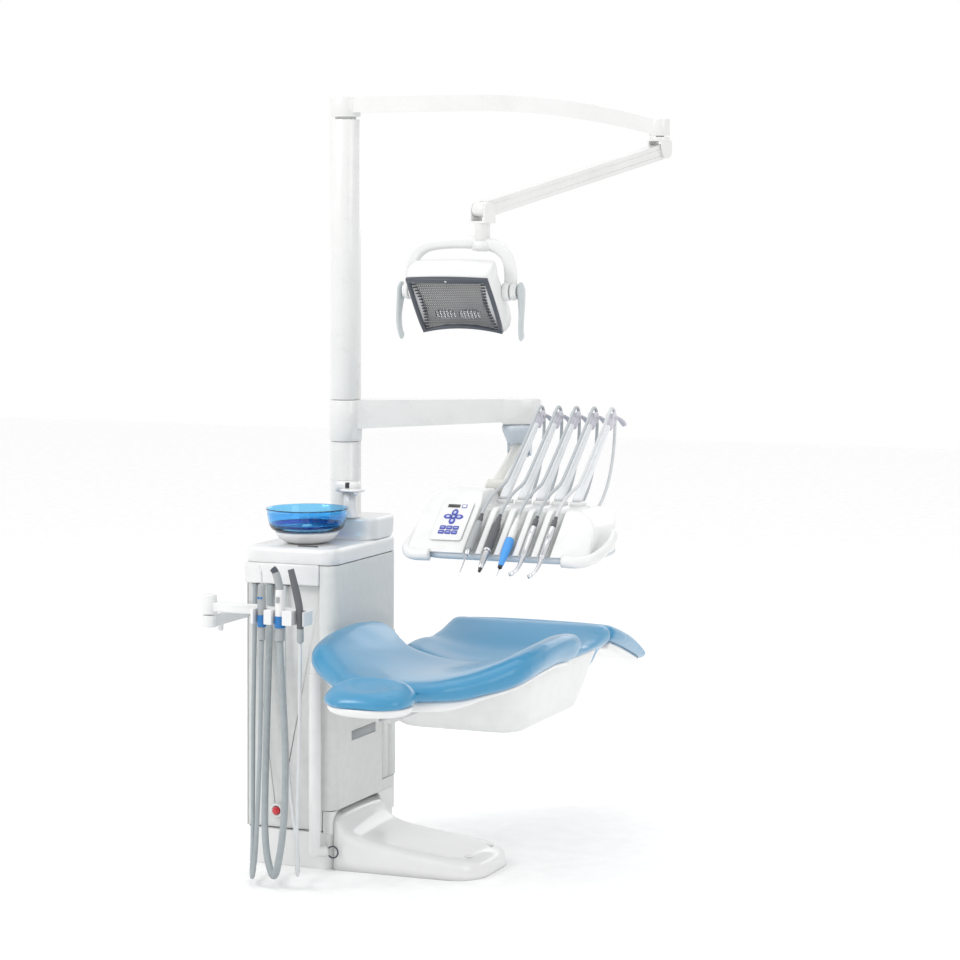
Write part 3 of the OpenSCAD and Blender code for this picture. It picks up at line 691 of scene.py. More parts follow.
def make_chair_shells():
    """White moulded trays under the upholstery."""
    rows = []
    for half, y0, y1, r, level in (
        (0.150, -0.300, 0.100, 0.05, 0.0), (0.176, -0.332, 0.112, 0.06, 0.012),
        (0.196, -0.352, 0.130, 0.07, 0.10), (0.212, -0.372, 0.150, 0.07, 0.36),
        (0.226, -0.392, 0.176, 0.07, 0.72), (0.236, -0.404, 0.196, 0.07, 0.97),
        (0.235, -0.402, 0.196, 0.07, 1.0), (0.229, -0.395, 0.189, 0.07, 1.0),
        (0.225, -0.390, 0.185, 0.07, 0.80), (0.200, -0.350, 0.160, 0.06, 0.40),
    ):
        loop = plate_loop(CHAIR_X - half, CHAIR_X + half, y0, y1, r, 120)
        rows.append([(x, y, 0.421 + (tray_top(x, y) - 0.421) * level) for x, y in loop])
    ride(loft("seat_tray", rows, WHITE), "chair", "cover", "seat_shell")

    lip = edge_band("backrest_rim", about_chair(mirrored(BACK_SIDE)), (CHAIR_X, -0.42),
                    lambda x, y: back_under(x, y) + 0.008, 0.040, 0.02, 0.012, WHITE)
    ride(lip, "backrest", "cover")
    bowl = pad("backrest_underside", about_chair([(x * 0.90, -0.42 + (y + 0.42) * 0.92)
               for x, y in mirrored(BACK_SIDE)]), (CHAIR_X, -0.42),
               lambda x, y: back_under(x, y) + 0.004, back_shell_under, 0.010, WHITE, 8, 3)
    ride(bowl, "backrest", "cover", "backrest_shell")
    cup = []
    for sx, sy, z in ((0.070, 0.050, 0.556), (0.098, 0.072, 0.558), (0.111, 0.083, 0.565),
                      (0.116, 0.087, 0.575), (0.115, 0.086, 0.580), (0.08, 0.06, 0.580)):
        loop = [(HEAD_MID[0] + sx * cos(a), HEAD_MID[1] + sy * sin(a), z)
                for a in np.linspace(0, 2 * pi, 56, endpoint=False)]
        cup.append(loop)
    ride(loft("headrest_cup", cup, WHITE), "headrest", "cover", "headrest_shell")
    plate = block("plate", (CHAIR_X - 0.013, -0.852, 0.541), (CHAIR_X + 0.013, -0.792, 0.557), GREY,
                  0.002)
    barrel = disc("barrel", 0.009, -0.013, 0.013, GREY, (CHAIR_X, -0.792, 0.548), (1, 0, 0), 0.001)
    ride(join("headrest_neck", [plate, barrel]), "headrest", "grey_plastic")
    under = []
    for s, z in ((0.86, 0.002), (0.96, 0.004), (1.0, 0.014), (0.985, 0.0225), (0.7, 0.0225)):
        loop = smooth_loop(about_chair(mirrored([(x * 0.90, max(0.03, y * 0.965))
                                                 for x, y in LEG_SIDE])), 120)
        mid = np.array((CHAIR_X, 0.27))
        under.append([(*(mid + (q - mid) * s), z) for q in loop])
    ride(tilt_to_knee(loft("legrest_tray", under, WHITE)), "legrest", "cover", "legrest_shell")


# ---------------------------------------------------------------- hoses

WHIP_X = [0.585 + 0.0545 * i for i in range(5)]
WHIP_BASE = (-0.190, 1.058)
WHIP_LEAN = radians(52)
WHIP_LENGTH = 0.342
WHIP_ROUTE = [
    (-111, 1000), (-90, 1002), (-40, 1014), (20, 1050), (70, 1110), (98, 1180), (106, 1240),
    (103, 1272), (94, 1287), (80, 1291), (64, 1284), (40, 1264), (-20, 1217), (-100, 1155),
    (-170, 1103), (-205, 1089), (-250, 1078), (-300, 1060), (-343, 1033), (-369, 1009),
]
SYRINGE_ROUTE = [
    (-129, -326, 794), (-129, -327, 770), (-129, -328, 740), (-128, -331, 670),
    (-128, -334, 600), (-126, -341, 500), (-122, -352, 400), (-113, -370, 300),
    (-100, -396, 200), (-82, -430, 125), (-58, -478, 60), (-30, -536, 26), (0, -590, 26),
    (22, -622, 62), (34, -634, 120), (39, -636, 200), (40, -628, 310), (38, -616, 420),
    (34, -604, 600), (34, -600, 679),
]
SUCTION_ROUTE = [
    (-80, -328, 794), (-80, -329, 770), (-80, -331, 740), (-79, -334, 670), (-79, -338, 600),
    (-78, -346, 500), (-75, -358, 400), (-69, -376, 300), (-58, -402, 205), (-40, -438, 130),
    (-8, -488, 66), (36, -546, 31), (74, -596, 40), (100, -626, 90), (114, -634, 150),
    (120, -632, 230), (119, -624, 330), (112, -614, 430), (95, -603, 600), (90, -600, 679),
]
SALIVA_ROUTE = [
    (-34, -326, 794), (-34, -327, 770), (-34, -329, 740), (-32, -333, 650), (-30, -338, 560),
    (-24, -346, 460), (-14, -358, 360), (4, -378, 260), (30, -406, 175), (62, -444, 100),
    (92, -492, 50), (114, -540, 32), (134, -584, 50), (145, -608, 100), (150, -617, 170),
    (153, -618, 270), (154, -612, 380), (153, -605, 520), (152, -601, 620), (152, -600, 679),
]
RIB = 0.005


def hose(name, points, radius, mat, ribbed=False):
    step = RIB / 4 if ribbed else 0.005
    path, length = smooth_path([[c * MM for c in p] for p in points], step)
    grow = (lambda i: radius * (0.955 + 0.045 * cos(pi / 2 * i))) if ribbed else radius
    return tube(name, path, grow, mat), path, length


def make_console_hoses(tools):
    for i, x in enumerate(WHIP_X):
        points = [(x / MM, y, z) for y, z in WHIP_ROUTE]
        last = i == 4
        obj, path, length = hose(f"whip_hose_{i + 1}", points, 0.0045, PALE_HOSE if last else MID_HOSE)
        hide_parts(f"hose_{i + 1}")
        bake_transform(obj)


def make_assist_hoses(tools):
    for name, node, points, radius, tool, ribbed in (
        ("syringe_tube", "syringe_hose", SYRINGE_ROUTE, 0.0063, tools[0], False),
        ("suction_tube", "suction_hose", SUCTION_ROUTE, 0.0100, tools[1], True),
        ("saliva_tube", "saliva_hose", SALIVA_ROUTE, 0.0050, tools[2], False),
    ):
        obj, path, length = hose(name, points, radius, PALE_HOSE if node == "saliva_hose" else HOSE,
                                 ribbed)
        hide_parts(node)
        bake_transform(obj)

# ---------------------------------------------------------------- console


def round_poly(corners, n=5):
    """Points of a polygon whose corners (a, b, radius) are rounded, the same number at each."""
    out = []
    for i, (a, b, r) in enumerate(corners):
        here = Vector((a, b))
        back = Vector(corners[i - 1][:2]) - here
        on = Vector(corners[(i + 1) % len(corners)][:2]) - here
        cut = min(r, 0.45 * back.length, 0.45 * on.length)
        start, end = here + back.normalized() * cut, here + on.normalized() * cut
        for k in range(n):
            t = k / (n - 1)
            out.append(start * (1 - t) ** 2 + here * 2 * t * (1 - t) + end * t * t)
    return out


CON_FOOT = (-0.448, 0.928)
FACE_DEPTH, FACE_HEIGHT = 0.120, 0.110
FACE_RUN = FACE_DEPTH / FACE_HEIGHT
FACE_LEAN = atan2(FACE_DEPTH, FACE_HEIGHT)
GROOVE_HALF = 0.0185


def on_face(x):
    """The frame of a tool on the sloping face: +Z runs up the slope."""
    return (Matrix.Translation((x, -0.445, 0.930)) @ Matrix.Rotation(-FACE_LEAN, 4, "X")
            @ Matrix.Translation((0, -0.007, 0)))


def console_section(x):
    """Side outline of the console at x, with its scooped grooves and rounded ends."""
    raised = 1 - smoothstep((x - 0.553) / 0.022)
    top = 1.040 + 0.040 * raised
    left, right = max(0.0, (0.452 - x) / 0.052), max(0.0, (x - 0.835) / 0.090)
    end_l, end_r = (1 - min(1, left) ** 2) ** 0.5, (1 - min(1, right) ** 2.2) ** 0.5
    top = 0.955 + (top - 0.955) * (0.25 + 0.75 * end_l) * (0.12 + 0.88 * end_r)
    rear = -0.112 - 0.045 * (1 - end_l) - 0.16 * (1 - end_r)
    scoop = max(0.0125 * cos(min(pi / 2, abs(x - w) / GROOVE_HALF * pi / 2)) ** 0.6 for w in WHIP_X)
    scoop = scoop if end_r > 0.2 else 0.0
    push = Vector((cos(FACE_LEAN), -sin(FACE_LEAN))) * scoop
    foot = Vector(CON_FOOT) + Vector((0.03 * (1 - end_r), 0)) + push
    head = Vector((CON_FOOT[0] + (top - CON_FOOT[1]) * FACE_RUN, top)) + push
    step = min(top, 1.036)
    return round_poly([
        (foot.x, foot.y - 0.002, 0.004), (foot.x, foot.y, 0.008), (head.x, max(head.y, 0.94), 0.016),
        (max(head.x + 0.02, min(-0.19, rear - 0.03)), top, 0.02),
        (max(head.x + 0.03, min(-0.152, rear - 0.01)), step, 0.02), (rear, step - 0.004, 0.016),
        (rear - 0.004, 0.924, 0.006), (-0.30, 0.922, 0.004),
        (foot.x + 0.014 * (scoop < 0.001), 0.921, 0.006),
    ])


def make_console_shell():
    xs = np.concatenate([
        np.linspace(0.400, 0.450, 12), np.linspace(0.455, 0.545, 8), np.arange(0.549, 0.836, 0.0022),
        np.linspace(0.838, 0.9245, 22),
    ])
    rows = [[(x, p.x, p.y) for p in console_section(x)] for x in xs]
    shell = loft("console_body", rows, WHITE)
    shell.data.materials.append(SILICONE)
    for face in shell.data.polygons:
        mid = face.center
        near = min(abs(mid.x - w) for w in WHIP_X)
        if near < GROOVE_HALF and face.normal.y < -0.3 and face.normal.z > 0.1 and mid.z > 0.93:
            face.material_index = 1
    ride(shell, "console", "panel", "console_shell")
    for i, x in enumerate(WHIP_X):
        outline = [(x + a, -0.188 + b) for a, b in rounded_loop(0.019, 0.026, 0.010)]
        seat = slab(f"whip_socket_{i + 1}", outline, 1.030, 1.050, WHITE, 0.005, 0.12)
        ride(seat, "console", "panel")


def make_tray():
    loops = []
    for s, z in ((0.93, 0.9065), (0.975, 0.909), (1.0, 0.916), (1.0, 0.9255), (0.9, 0.9255)):
        loop = rounded_loop(0.246, 0.160, 0.075, 10)
        loops.append([(0.665 + x * s, -0.283 + y * s, z) for x, y in loop])
    parts = [loft("tray_hull", loops, TRAY)]
    for side in (-1, 1):
        route = [
            (0.195, -0.452, 0.918), (0.240, -0.453, 0.917), (0.268, -0.434, 0.924), (0.283, -0.390, 0.938),
            (0.287, -0.340, 0.956), (0.285, -0.305, 0.976), (0.279, -0.285, 0.990),
        ]
        path, _ = smooth_path([(0.665 + side * x, y, z) for x, y, z in route], 0.006)
        n = len(path)
        grow = [0.0165 - 0.005 * i / n for i in range(n)]
        for k in range(5):
            grow[n - 1 - k] *= (1 - ((5 - k) / 5.4) ** 2) ** 0.5
        horn = tube("horn", path, lambda i, g=grow: g[i], WHITE, 20, (0, 0, 1))
        parts.append(horn)
    ride(join("console_tray_and_handles", parts), "console", "tray", "console_tray")


def oval(cx, cy, a, b, n=20):
    return [(cx + a * cos(2 * pi * k / n), cy + b * sin(2 * pi * k / n)) for k in range(n)]


def make_keypad():
    """Membrane pad: plate, little display, a cross of four oval keys and two rows of keys."""
    parts = [slab("pad", rounded_loop(0.046, 0.070, 0.008), -0.0005, 0.0008, WHITE, 0.0006)]
    parts.append(slab("display", [(x - 0.010, y + 0.053) for x, y in rounded_loop(0.018, 0.0055, 0.001)],
                      0.0006, 0.0018, BLACK, 0.0004))
    parts.append(slab("icon", [(x + 0.021, y + 0.053) for x, y in rounded_loop(0.0075, 0.0065, 0.002)],
                      0.0006, 0.0018, KEY_BLUE, 0.0004))
    parts.append(slab("icon_face", [(x + 0.021, y + 0.053) for x, y in rounded_loop(0.0055, 0.0045, 0.001)],
                      0.0016, 0.0021, WHITE, 0.0002))
    for a, b, dx, dy in ((0.0095, 0.0125, 0, 0.015), (0.0095, 0.0125, 0, -0.015),
                         (0.0125, 0.0085, 0.0165, 0), (0.0125, 0.0085, -0.0165, 0), (0.0095, 0.009, 0, 0)):
        parts.append(slab("key", oval(dx, 0.014 + dy, a, b), 0.0006, 0.0022, KEY_BLUE, 0.0006))
        mark = oval(dx, 0.014 + dy, a * 0.42, b * 0.42)
        parts.append(slab("mark", mark, 0.0018, 0.0025, KEY_MARK, 0.0002))
    for row in range(2):
        for col in range(3):
            dx, dy = (col - 1) * 0.0195, -0.026 - row * 0.0165
            parts.append(slab("key", [(x + dx, y + dy) for x, y in rounded_loop(0.0088, 0.0068, 0.003)],
                              0.0006, 0.0022, KEY_BLUE, 0.0006))
            parts.append(slab("mark", [(x + dx, y + dy) for x, y in rounded_loop(0.005, 0.0012, 0.001)],
                              0.0018, 0.0025, KEY_MARK, 0.0002))
    place = on_face(0.503) @ Matrix.Translation((0, 0.0028, 0.104)) @ Matrix.Rotation(radians(90), 4, "X")
    for part in parts:
        part.data.transform(place)
    ride(join("key_panel", parts), "console", "keys", "keypad")


def turned(name, profile, mat, ridges=0, depth=0.0):
    """A turned section in millimetres along +Z, with lengthwise flutes if ridges is set."""
    sides = max(32, ridges * 4)
    rings = []
    for r, h in profile:
        ring = []
        for k in range(sides):
            a = 2 * pi * k / sides
            rr = r - depth * (0.5 + 0.5 * cos(a * ridges)) if ridges else r
            ring.append((rr * cos(a) * MM, rr * sin(a) * MM, h * MM))
        rings.append(ring)
    return loft(name, rings, mat)


def bent_neck(name, low, radius, mat, head_r, head_h):
    """The curved neck of a dental handpiece, with its small head across the end."""
    path, _ = smooth_path([
        (0, 0, -14 * MM), (0, 0, (-14 + (low + 14) * 0.35) * MM),
        (-0.003, -0.001, (-14 + (low + 14) * 0.75) * MM), (-0.011, -0.003, low * MM),
    ], 0.003)
    n = len(path)
    neck = tube(name, path, lambda i: (radius - (radius - 4.2) * i / n) * MM, mat, 20)
    profile = [
        (0.1 * MM, -head_h * MM), (head_r * 0.8 * MM, -head_h * MM), (head_r * MM, -head_h * 0.8 * MM),
        (head_r * MM, head_h * 0.7 * MM), (head_r * 0.7 * MM, head_h * MM), (0.1 * MM, head_h * 1.05 * MM),
    ]
    cap = lathe("head", profile, mat, Vector(path[-1]) + Vector((-0.002, 0, -0.002)), (0.62, 0.25, 0.74), 24)
    return [neck, cap]


def make_tools():
    cuffs = [(6.5, 96), (7.4, 97), (7.4, 116), (5.4, 118), (5.0, 130)]
    tools = {
        "air_syringe": [
            turned("body", [(6, 0), (9.6, 2), (10.8, 12), (11.2, 50), (11.2, 84), (9.5, 98), (6, 106)],
                   GREY, 14, 0.7),
            turned("collar", [(4, -18), (5.4, -17), (7.8, -4), (8.2, 1), (6, 2)], CHROME),
            turned("tip", [(0.5, -92), (1.6, -91), (1.9, -60), (2.3, -22), (3.6, -17)], CHROME),
        ],
        "micromotor": [
            turned("body", [(7, 2), (11.4, 4), (12, 14), (12, 84), (10.4, 98), (6, 108)], DARK, 16, 1.1),
            turned("ring", [(10.4, -2), (11.6, 0), (11.6, 4), (10, 5)], CHROME),
            turned("cone", [(5, -62), (6.6, -60), (8.2, -44), (10.4, -12), (10.6, -1)], STEEL),
            turned("nose", [(1, -74), (3.6, -73), (5.2, -66), (5.6, -60)], BLACK),
        ],
        "scaler": [
            turned("grip", [(5.6, -50), (7.2, -48), (9.6, -20), (12.2, 10), (12.8, 34), (11.6, 44), (8, 46)],
                   GRIP_BLUE),
            turned("ring", [(5.2, -56), (6.4, -55), (6.4, -50), (5, -49)], BLACK),
            turned("needle", [(0.4, -86), (0.8, -85), (1.3, -68), (3.2, -56)], CHROME),
            turned("rear", [(8, 45), (9.6, 46), (9.8, 80), (8.6, 96), (6, 99)], WHITE),
        ],
        "contra_angle": [
            turned("body", [(7.4, -16), (8.4, -12), (8.9, 20), (9.6, 40), (9.8, 60), (9.2, 62), (9.8, 64),
                            (9.2, 88), (6, 98)], CHROME, 10, 0.5),
            *bent_neck("neck", -74, 7.6, CHROME, 5.4, 7.5),
        ],
        "turbine": [
            turned("body", [(6.6, -16), (8.0, -10), (8.8, 26), (9.6, 42), (8.4, 44), (9.4, 46), (9.4, 70),
                            (8.8, 90), (6, 98)], CHROME),
            *bent_neck("neck", -78, 6.8, CHROME, 5.8, 7.0),
        ],
    }
    made = []
    for (name, parts), x in zip(tools.items(), WHIP_X):
        for part in parts:
            part.data.transform(on_face(x))
        obj = join(f"{name}_piece", parts)
        slot = {"scaler": "tool_blue", "contra_angle": "chrome", "turbine": "chrome"}.get(name, "tool_grey")
        ride(obj, "console", slot, name)
        cuff = turned(f"{name}_cuff", cuffs, DARK if name != "scaler" else WHITE)
        cuff.data.transform(on_face(x))
        made.append(ride(cuff, "console", "grey_plastic"))
    return made


def make_whips():
    lean = Matrix.Rotation(-WHIP_LEAN, 4, "X")
    for i, x in enumerate(WHIP_X):
        rings = []
        for t, half_w, half_t in ((-0.012, 0.0125, 0.0075), (0.0, 0.0135, 0.0085), (0.10, 0.0130, 0.0080),
                                  (0.22, 0.0110, 0.0070), (0.310, 0.0088, 0.0062), (0.322, 0.007, 0.005)):
            rings.append([(a, b, t) for a, b in rounded_loop(half_w, half_t, half_t * 0.8, 5)])
        parts = [loft("blade", rings, WHIP)]
        for s in (-1, 1):
            wheel = (s * 0.0085, 0.002, WHIP_LENGTH - 0.006)
            pin = (s * 0.0125, 0.002, WHIP_LENGTH - 0.006)
            parts.append(disc("roller", 0.0165, -0.0035, 0.0035, LILAC, wheel, (1, 0, 0), 0.002, 28))
            parts.append(disc("roller_pin", 0.005, -0.001, 0.0015, STEEL, pin, (s, 0, 0), 0.0005, 16))
        cheek = rounded_loop(0.0115, 0.012, 0.006, 5)
        rings = []
        for size, z in ((0.9, 0.298), (1.0, 0.304), (1.0, 0.338), (0.8, 0.346)):
            rings.append([(a * size, b * size + 0.004, z) for a, b in cheek])
        parts.append(loft("cheek", rings, LILAC))
        route = [(0.0, 0.004, 0.344), (0.006, 0.016, 0.356), (0.016, 0.034, 0.361), (0.024, 0.050, 0.358)]
        path, _ = smooth_path(route, 0.003)
        n = len(path)
        sections = []
        for k in range(n):
            end = (1 - max(0, (k / n - 0.8) / 0.2) ** 2) ** 0.5
            wide = 0.0035 + 0.0055 * smoothstep(k / n * 1.3) * end + 0.0005
            sections.append(oval(0, 0, wide, 0.0032))
        parts.append(sweep("tongue", path, sections, LILAC))
        for part in parts:
            part.data.transform(Matrix.Translation((x, *WHIP_BASE)) @ lean)
        ride(join(f"whip_{i + 1}_piece", parts), f"whip_arm_{i + 1}", "arm_paint", f"whip_{i + 1}")


def make_console_arm_trim():
    x, y = 0.450, 0.250
    profile = [
        (0.030, 1.160), (0.0335, 1.162), (0.040, 1.176), (0.0515, 1.204), (0.0530, 1.214), (0.0500, 1.2225),
        (0.020, 1.2235),
    ]
    cup = lathe("elbow_cup", profile, TRAY, (x, y, 0), (0, 0, 1), 56)
    ride(cup, "boom_elbow", "tray")
    az = atan2(y, x)
    loop = [(-0.055, -0.037), (-0.02, -0.044), (0.03, -0.042), (0.058, -0.028), (0.066, 0.0), (0.058, 0.028),
            (0.03, 0.042), (-0.02, 0.044), (-0.055, 0.037)]
    turn = Matrix.Rotation(az, 2)
    shape = [(x + (turn @ Vector(p)).x, y + (turn @ Vector(p)).y) for p in loop]
    cap = soften(slab("boom_end_cap", shape, 1.2245, 1.3008, ENAMEL, 0.006), 0.003, 3, 25)
    ride(cap, "boom", "arm_paint")


# ---------------------------------------------------------------- lamp

LAMP_C = Vector((0.658, -0.670, 1.644))
LAMP_PITCH = radians(38)
HALF_W = 0.113


def lamp_place():
    return Matrix.Translation(LAMP_C) @ Matrix.Rotation(LAMP_PITCH, 4, "X")


def face_loop(grow, n=14):
    """The lamp window's outline: straight sides, slightly bowed top, hollow bottom edge."""
    pts = []
    for k in range(n + 1):
        t = -1 + 2 * k / n
        pts.append((t * (HALF_W + grow), 0.084 + grow + 0.004 * (1 - t * t)))
    for k in range(1, 6):
        pts.append((HALF_W + grow + 0.002 * sin(pi * k / 6), 0.084 + grow - (0.178 + 2 * grow) * k / 6))
    for k in range(n + 1):
        t = 1 - 2 * k / n
        pts.append((t * (HALF_W - 0.002 + grow), -0.094 - grow + 0.016 * (1 - t * t)))
    for k in range(5, 0, -1):
        pts.append((-HALF_W - grow - 0.002 * sin(pi * k / 6), 0.084 + grow - (0.178 + 2 * grow) * k / 6))
    return pts


def make_lamp_head():
    rings = []
    for y, s, lift in ((-0.052, 1.0, 0), (-0.044, 1.045, 0.001), (-0.02, 1.08, 0.003), (0.006, 1.05, 0.004),
                       (0.026, 0.93, 0.004), (0.038, 0.74, 0.003), (0.044, 0.45, 0.002)):
        rings.append([(a * s, y, (b + 0.004) * s - 0.004 + lift) for a, b in face_loop(0.001)])
    shell = loft("shell", rings, WHITE)
    frame_rows = []
    for grow, y in ((0.002, -0.050), (0.002, -0.0585), (0.0, -0.0605), (-0.006, -0.0605), (-0.008, -0.057),
                    (-0.008, -0.048)):
        frame_rows.append([(a, y, b) for a, b in face_loop(grow)])
    rim = loft("rim", frame_rows, LAMP_GREY, caps=False)
    window = [(a, -0.0505, b) for a, b in face_loop(-0.004)]
    backing = put("backing", window, [tuple(range(len(window)))], CHARCOAL)
    parts = [shell, rim, backing]
    bar = block("top_bar", (-0.112, -0.0625, 0.0765), (0.112, -0.057, 0.0885), LAMP_GREY, 0.002)
    dot = disc("screw", 0.003, 0, 0.001, CHROME, (0, -0.0625, 0.0825), (0, -1, 0), 0.0004, 16)
    parts += [bar, dot]
    for s in (-1, 1):
        for k in range(15):
            t = k / 14
            z = 0.066 - 0.142 * t
            x = s * (0.098 - 0.010 * sin(pi * t) * 0.8)
            low, high = (x - 0.006, -0.0565, z - 0.0022), (x + 0.006, -0.0535, z + 0.0016)
            parts.append(block("slat", low, high, SLAT, 0.0006, 1))
        fan = []
        for k in range(13):
            t = -1 + 2 * k / 12
            height = 0.017 * (1 - 0.45 * t * t) + 0.003 * cos(k * pi)
            fan.append((s * 0.034 + t * 0.029, -0.0532 - 0.0022 * (k % 2), -0.036 + height))
        low = [(x, y, -0.036 - 0.75 * (z + 0.036)) for x, y, z in fan]
        verts = fan + low
        faces = [(k, k + 1, 13 + k + 1, 13 + k) for k in range(12)]
        parts.append(put("reflector", verts, faces, REFLECTOR, smooth=False))
    bm = bmesh.new()
    cols, rows_n, pitch = 34, 30, 0.0058
    grid = {}
    for i in range(cols * 2):
        for j in range(rows_n):
            a = (i - cols + 0.5) * pitch * 0.5
            b = (j - rows_n / 2) * pitch + (0.35 if (i + j) % 2 else 0) * pitch
            low_edge = -0.094 + 0.016 * (1 - min(1, abs(a) / HALF_W) ** 2)
            if abs(a) < 0.092 and low_edge + 0.010 < b < 0.074:
                grid[i, j] = bm.verts.new((a, -0.0555, b))
    for (i, j), v in grid.items():
        if (i + 1, j) in grid:
            bm.edges.new((v, grid[i + 1, j]))
        if (i + j) % 2 and (i, j + 1) in grid:
            bm.edges.new((v, grid[i, j + 1]))
    verts, faces = [], []
    for e in bm.edges:
        p, q = e.verts[0].co, e.verts[1].co
        d = (q - p).normalized() * 0.0001
        n = Vector((d.z, 0, -d.x)).normalized() * 0.00045
        base = len(verts)
        verts += [p - d + n, q + d + n, q + d - n, p - d - n]
        verts += [v + Vector((0, 0.0009, 0)) for v in verts[-4:]]
        faces += [(base, base + 1, base + 2, base + 3), (base, base + 4, base + 5, base + 1),
                  (base + 3, base + 2, base + 6, base + 7), (base + 4, base + 7, base + 6, base + 5),
                  (base, base + 3, base + 7, base + 4), (base + 1, base + 5, base + 6, base + 2)]
    bm.free()
    parts.append(put("screen", verts, faces, CHARCOAL, smooth=False))
    for part in parts:
        part.data.transform(lamp_place())
    ride(join("lamp_head_piece", parts), "lamp", "lamp_shell", "light_head")


def make_lamp_yoke():
    outer = [(-0.141, 0.0), (-0.142, 0.050), (-0.132, 0.092), (-0.100, 0.118), (-0.05, 0.127), (0.0, 0.129),
             (0.05, 0.127), (0.100, 0.118), (0.132, 0.092), (0.142, 0.050), (0.141, 0.0)]
    thick = [0.016, 0.017, 0.024, 0.030, 0.031, 0.031, 0.031, 0.030, 0.024, 0.017, 0.016]
    path, _ = smooth_path([(x, 0, z) for x, z in outer], 0.006)
    n = len(path)
    sections = []
    for i in range(n):
        t = np.interp(i / (n - 1) * 10, range(11), thick)
        sections.append([(a, b) for a, b in rounded_loop(0.0175, t / 2, min(0.0145, t * 0.45), 5)])
    arch = sweep("arch", path, sections, WHITE, (0, 1, 0.001))
    parts = [arch]
    for s in (-1, 1):
        parts.append(disc("knuckle", 0.025, -0.009, 0.009, WHITE, (s * 0.133, 0, 0), (s, 0, 0), 0.004, 36))
    profile = [(0.012, 0.104), (0.030, 0.108), (0.024, 0.130), (0.0205, 0.1335), (0.012, 0.134)]
    parts.append(lathe("collar", profile, WHITE, (0.062, 0, 0), (0, 0, 1), 40))
    for part in parts:
        part.data.transform(Matrix.Translation(LAMP_C))
    ride(join("lamp_yoke_piece", parts), "lamp_fork", "lamp_shell", "light_yoke")


def make_lamp_handles():
    parts = []
    for s in (-1, 1):
        parts.append(disc("knob", 0.0235, -0.005, 0.005, WHITE, (s * 0.1505, 0, 0), (s, 0, 0), 0.003, 36))
        parts.append(disc("knob", 0.0205, -0.004, 0.004, WHITE, (s * 0.158, 0, 0), (s, 0, 0), 0.002, 36))
        route = []
        for y, z in ((0.0, 0.024), (0.0, 0.008), (-0.002, -0.020), (-0.007, -0.055), (-0.009, -0.085),
                     (-0.004, -0.108), (0.006, -0.123)):
            route.append((s * (0.171 + 0.004 * sin(pi * min(1, max(0, -z) / 0.12))), y, z))
        path, _ = smooth_path(route, 0.004)
        n = len(path)
        sections = []
        for i in range(n):
            t = i / (n - 1)
            wide = np.interp(t, (0, 0.03, 0.12, 0.28, 0.55, 0.85, 0.97, 1),
                             (0.004, 0.014, 0.0225, 0.018, 0.012, 0.0115, 0.0125, 0.010))
            flat = np.interp(t, (0, 0.1, 0.5, 0.97, 1), (0.004, 0.0085, 0.0070, 0.006, 0.004))
            turns = np.linspace(0, 2 * pi, 24, endpoint=False)
            sections.append([(flat * cos(a), wide * sin(a)) for a in turns])
        parts.append(sweep("grip", path, sections, HANDLE_GREY, (0, 1, 0.001)))
    for part in parts:
        part.data.transform(Matrix.Translation(LAMP_C))
    ride(join("lamp_handles_piece", parts), "lamp", "grey_plastic", "light_handles")


# ---------------------------------------------------------------- cabinet and base


def resample(loop, count):
    """The same closed outline with evenly spaced points."""
    p = np.array([*loop, loop[0]], float)
    run = np.concatenate([[0], np.cumsum(np.linalg.norm(np.diff(p, axis=0), axis=1))])
    at = np.linspace(0, run[-1], count, endpoint=False)
    return np.stack([np.interp(at, run, p[:, k]) for k in range(2)], 1)


def plate_loop(x0, x1, y0, y1, r, count=96):
    loop = [((x0 + x1) / 2 + x, (y0 + y1) / 2 + y)
            for x, y in rounded_loop((x1 - x0) / 2, (y1 - y0) / 2, r, 8)]
    return resample(loop, count)


def make_foot():
    """The cast foot: a long tongue that sweeps up to the cabinet in a hollow curve."""
    start, end = 0.1215, 0.548
    rings = []
    for k in range(49):
        t = sin(pi / 2 * k / 48)
        x = start + (end - start) * t
        tip = min(1, (end - x) / 0.085)
        curl = sqrt(max(0, 1 - (1 - tip) ** 2))
        height = 0.050 + 0.044 * (1 - t) + 0.067 * exp(-(x - start) / 0.030)
        height *= 0.30 + 0.70 * curl ** 0.7
        half = (0.1600 - 0.012 * t) * (0.42 + 0.58 * curl) if tip < 1 else 0.1600 - 0.012 * t
        r = min(0.034, height * 0.62)
        loop = [(-half, 0), (-half + 0.001, height * 0.3)]
        for a in np.linspace(0, pi / 2, 9):
            loop.append((-half + 0.003 + r * (1 - cos(a)), height - r + r * sin(a)))
        for f in np.linspace(-0.8, 0.8, 9):
            loop.append(((half - r) * f, height + 0.004 * (1 - f * f)))
        loop += [(-y, z) for y, z in loop[10::-1]]
        rings.append([(x, -0.1700 + y, z) for y, z in loop])
    ride(loft("foot_casting", rings, CAST), "root", "casting", "base_foot")
    pads = [disc(f"foot_plug_{i}", 0.011, 0.0, 0.0035, CAST, (0.498, y, 0.0535), edge=0.001)
            for i, y in enumerate((-0.250, -0.092))]
    ride(join("foot_plugs", pads), "root", "casting")


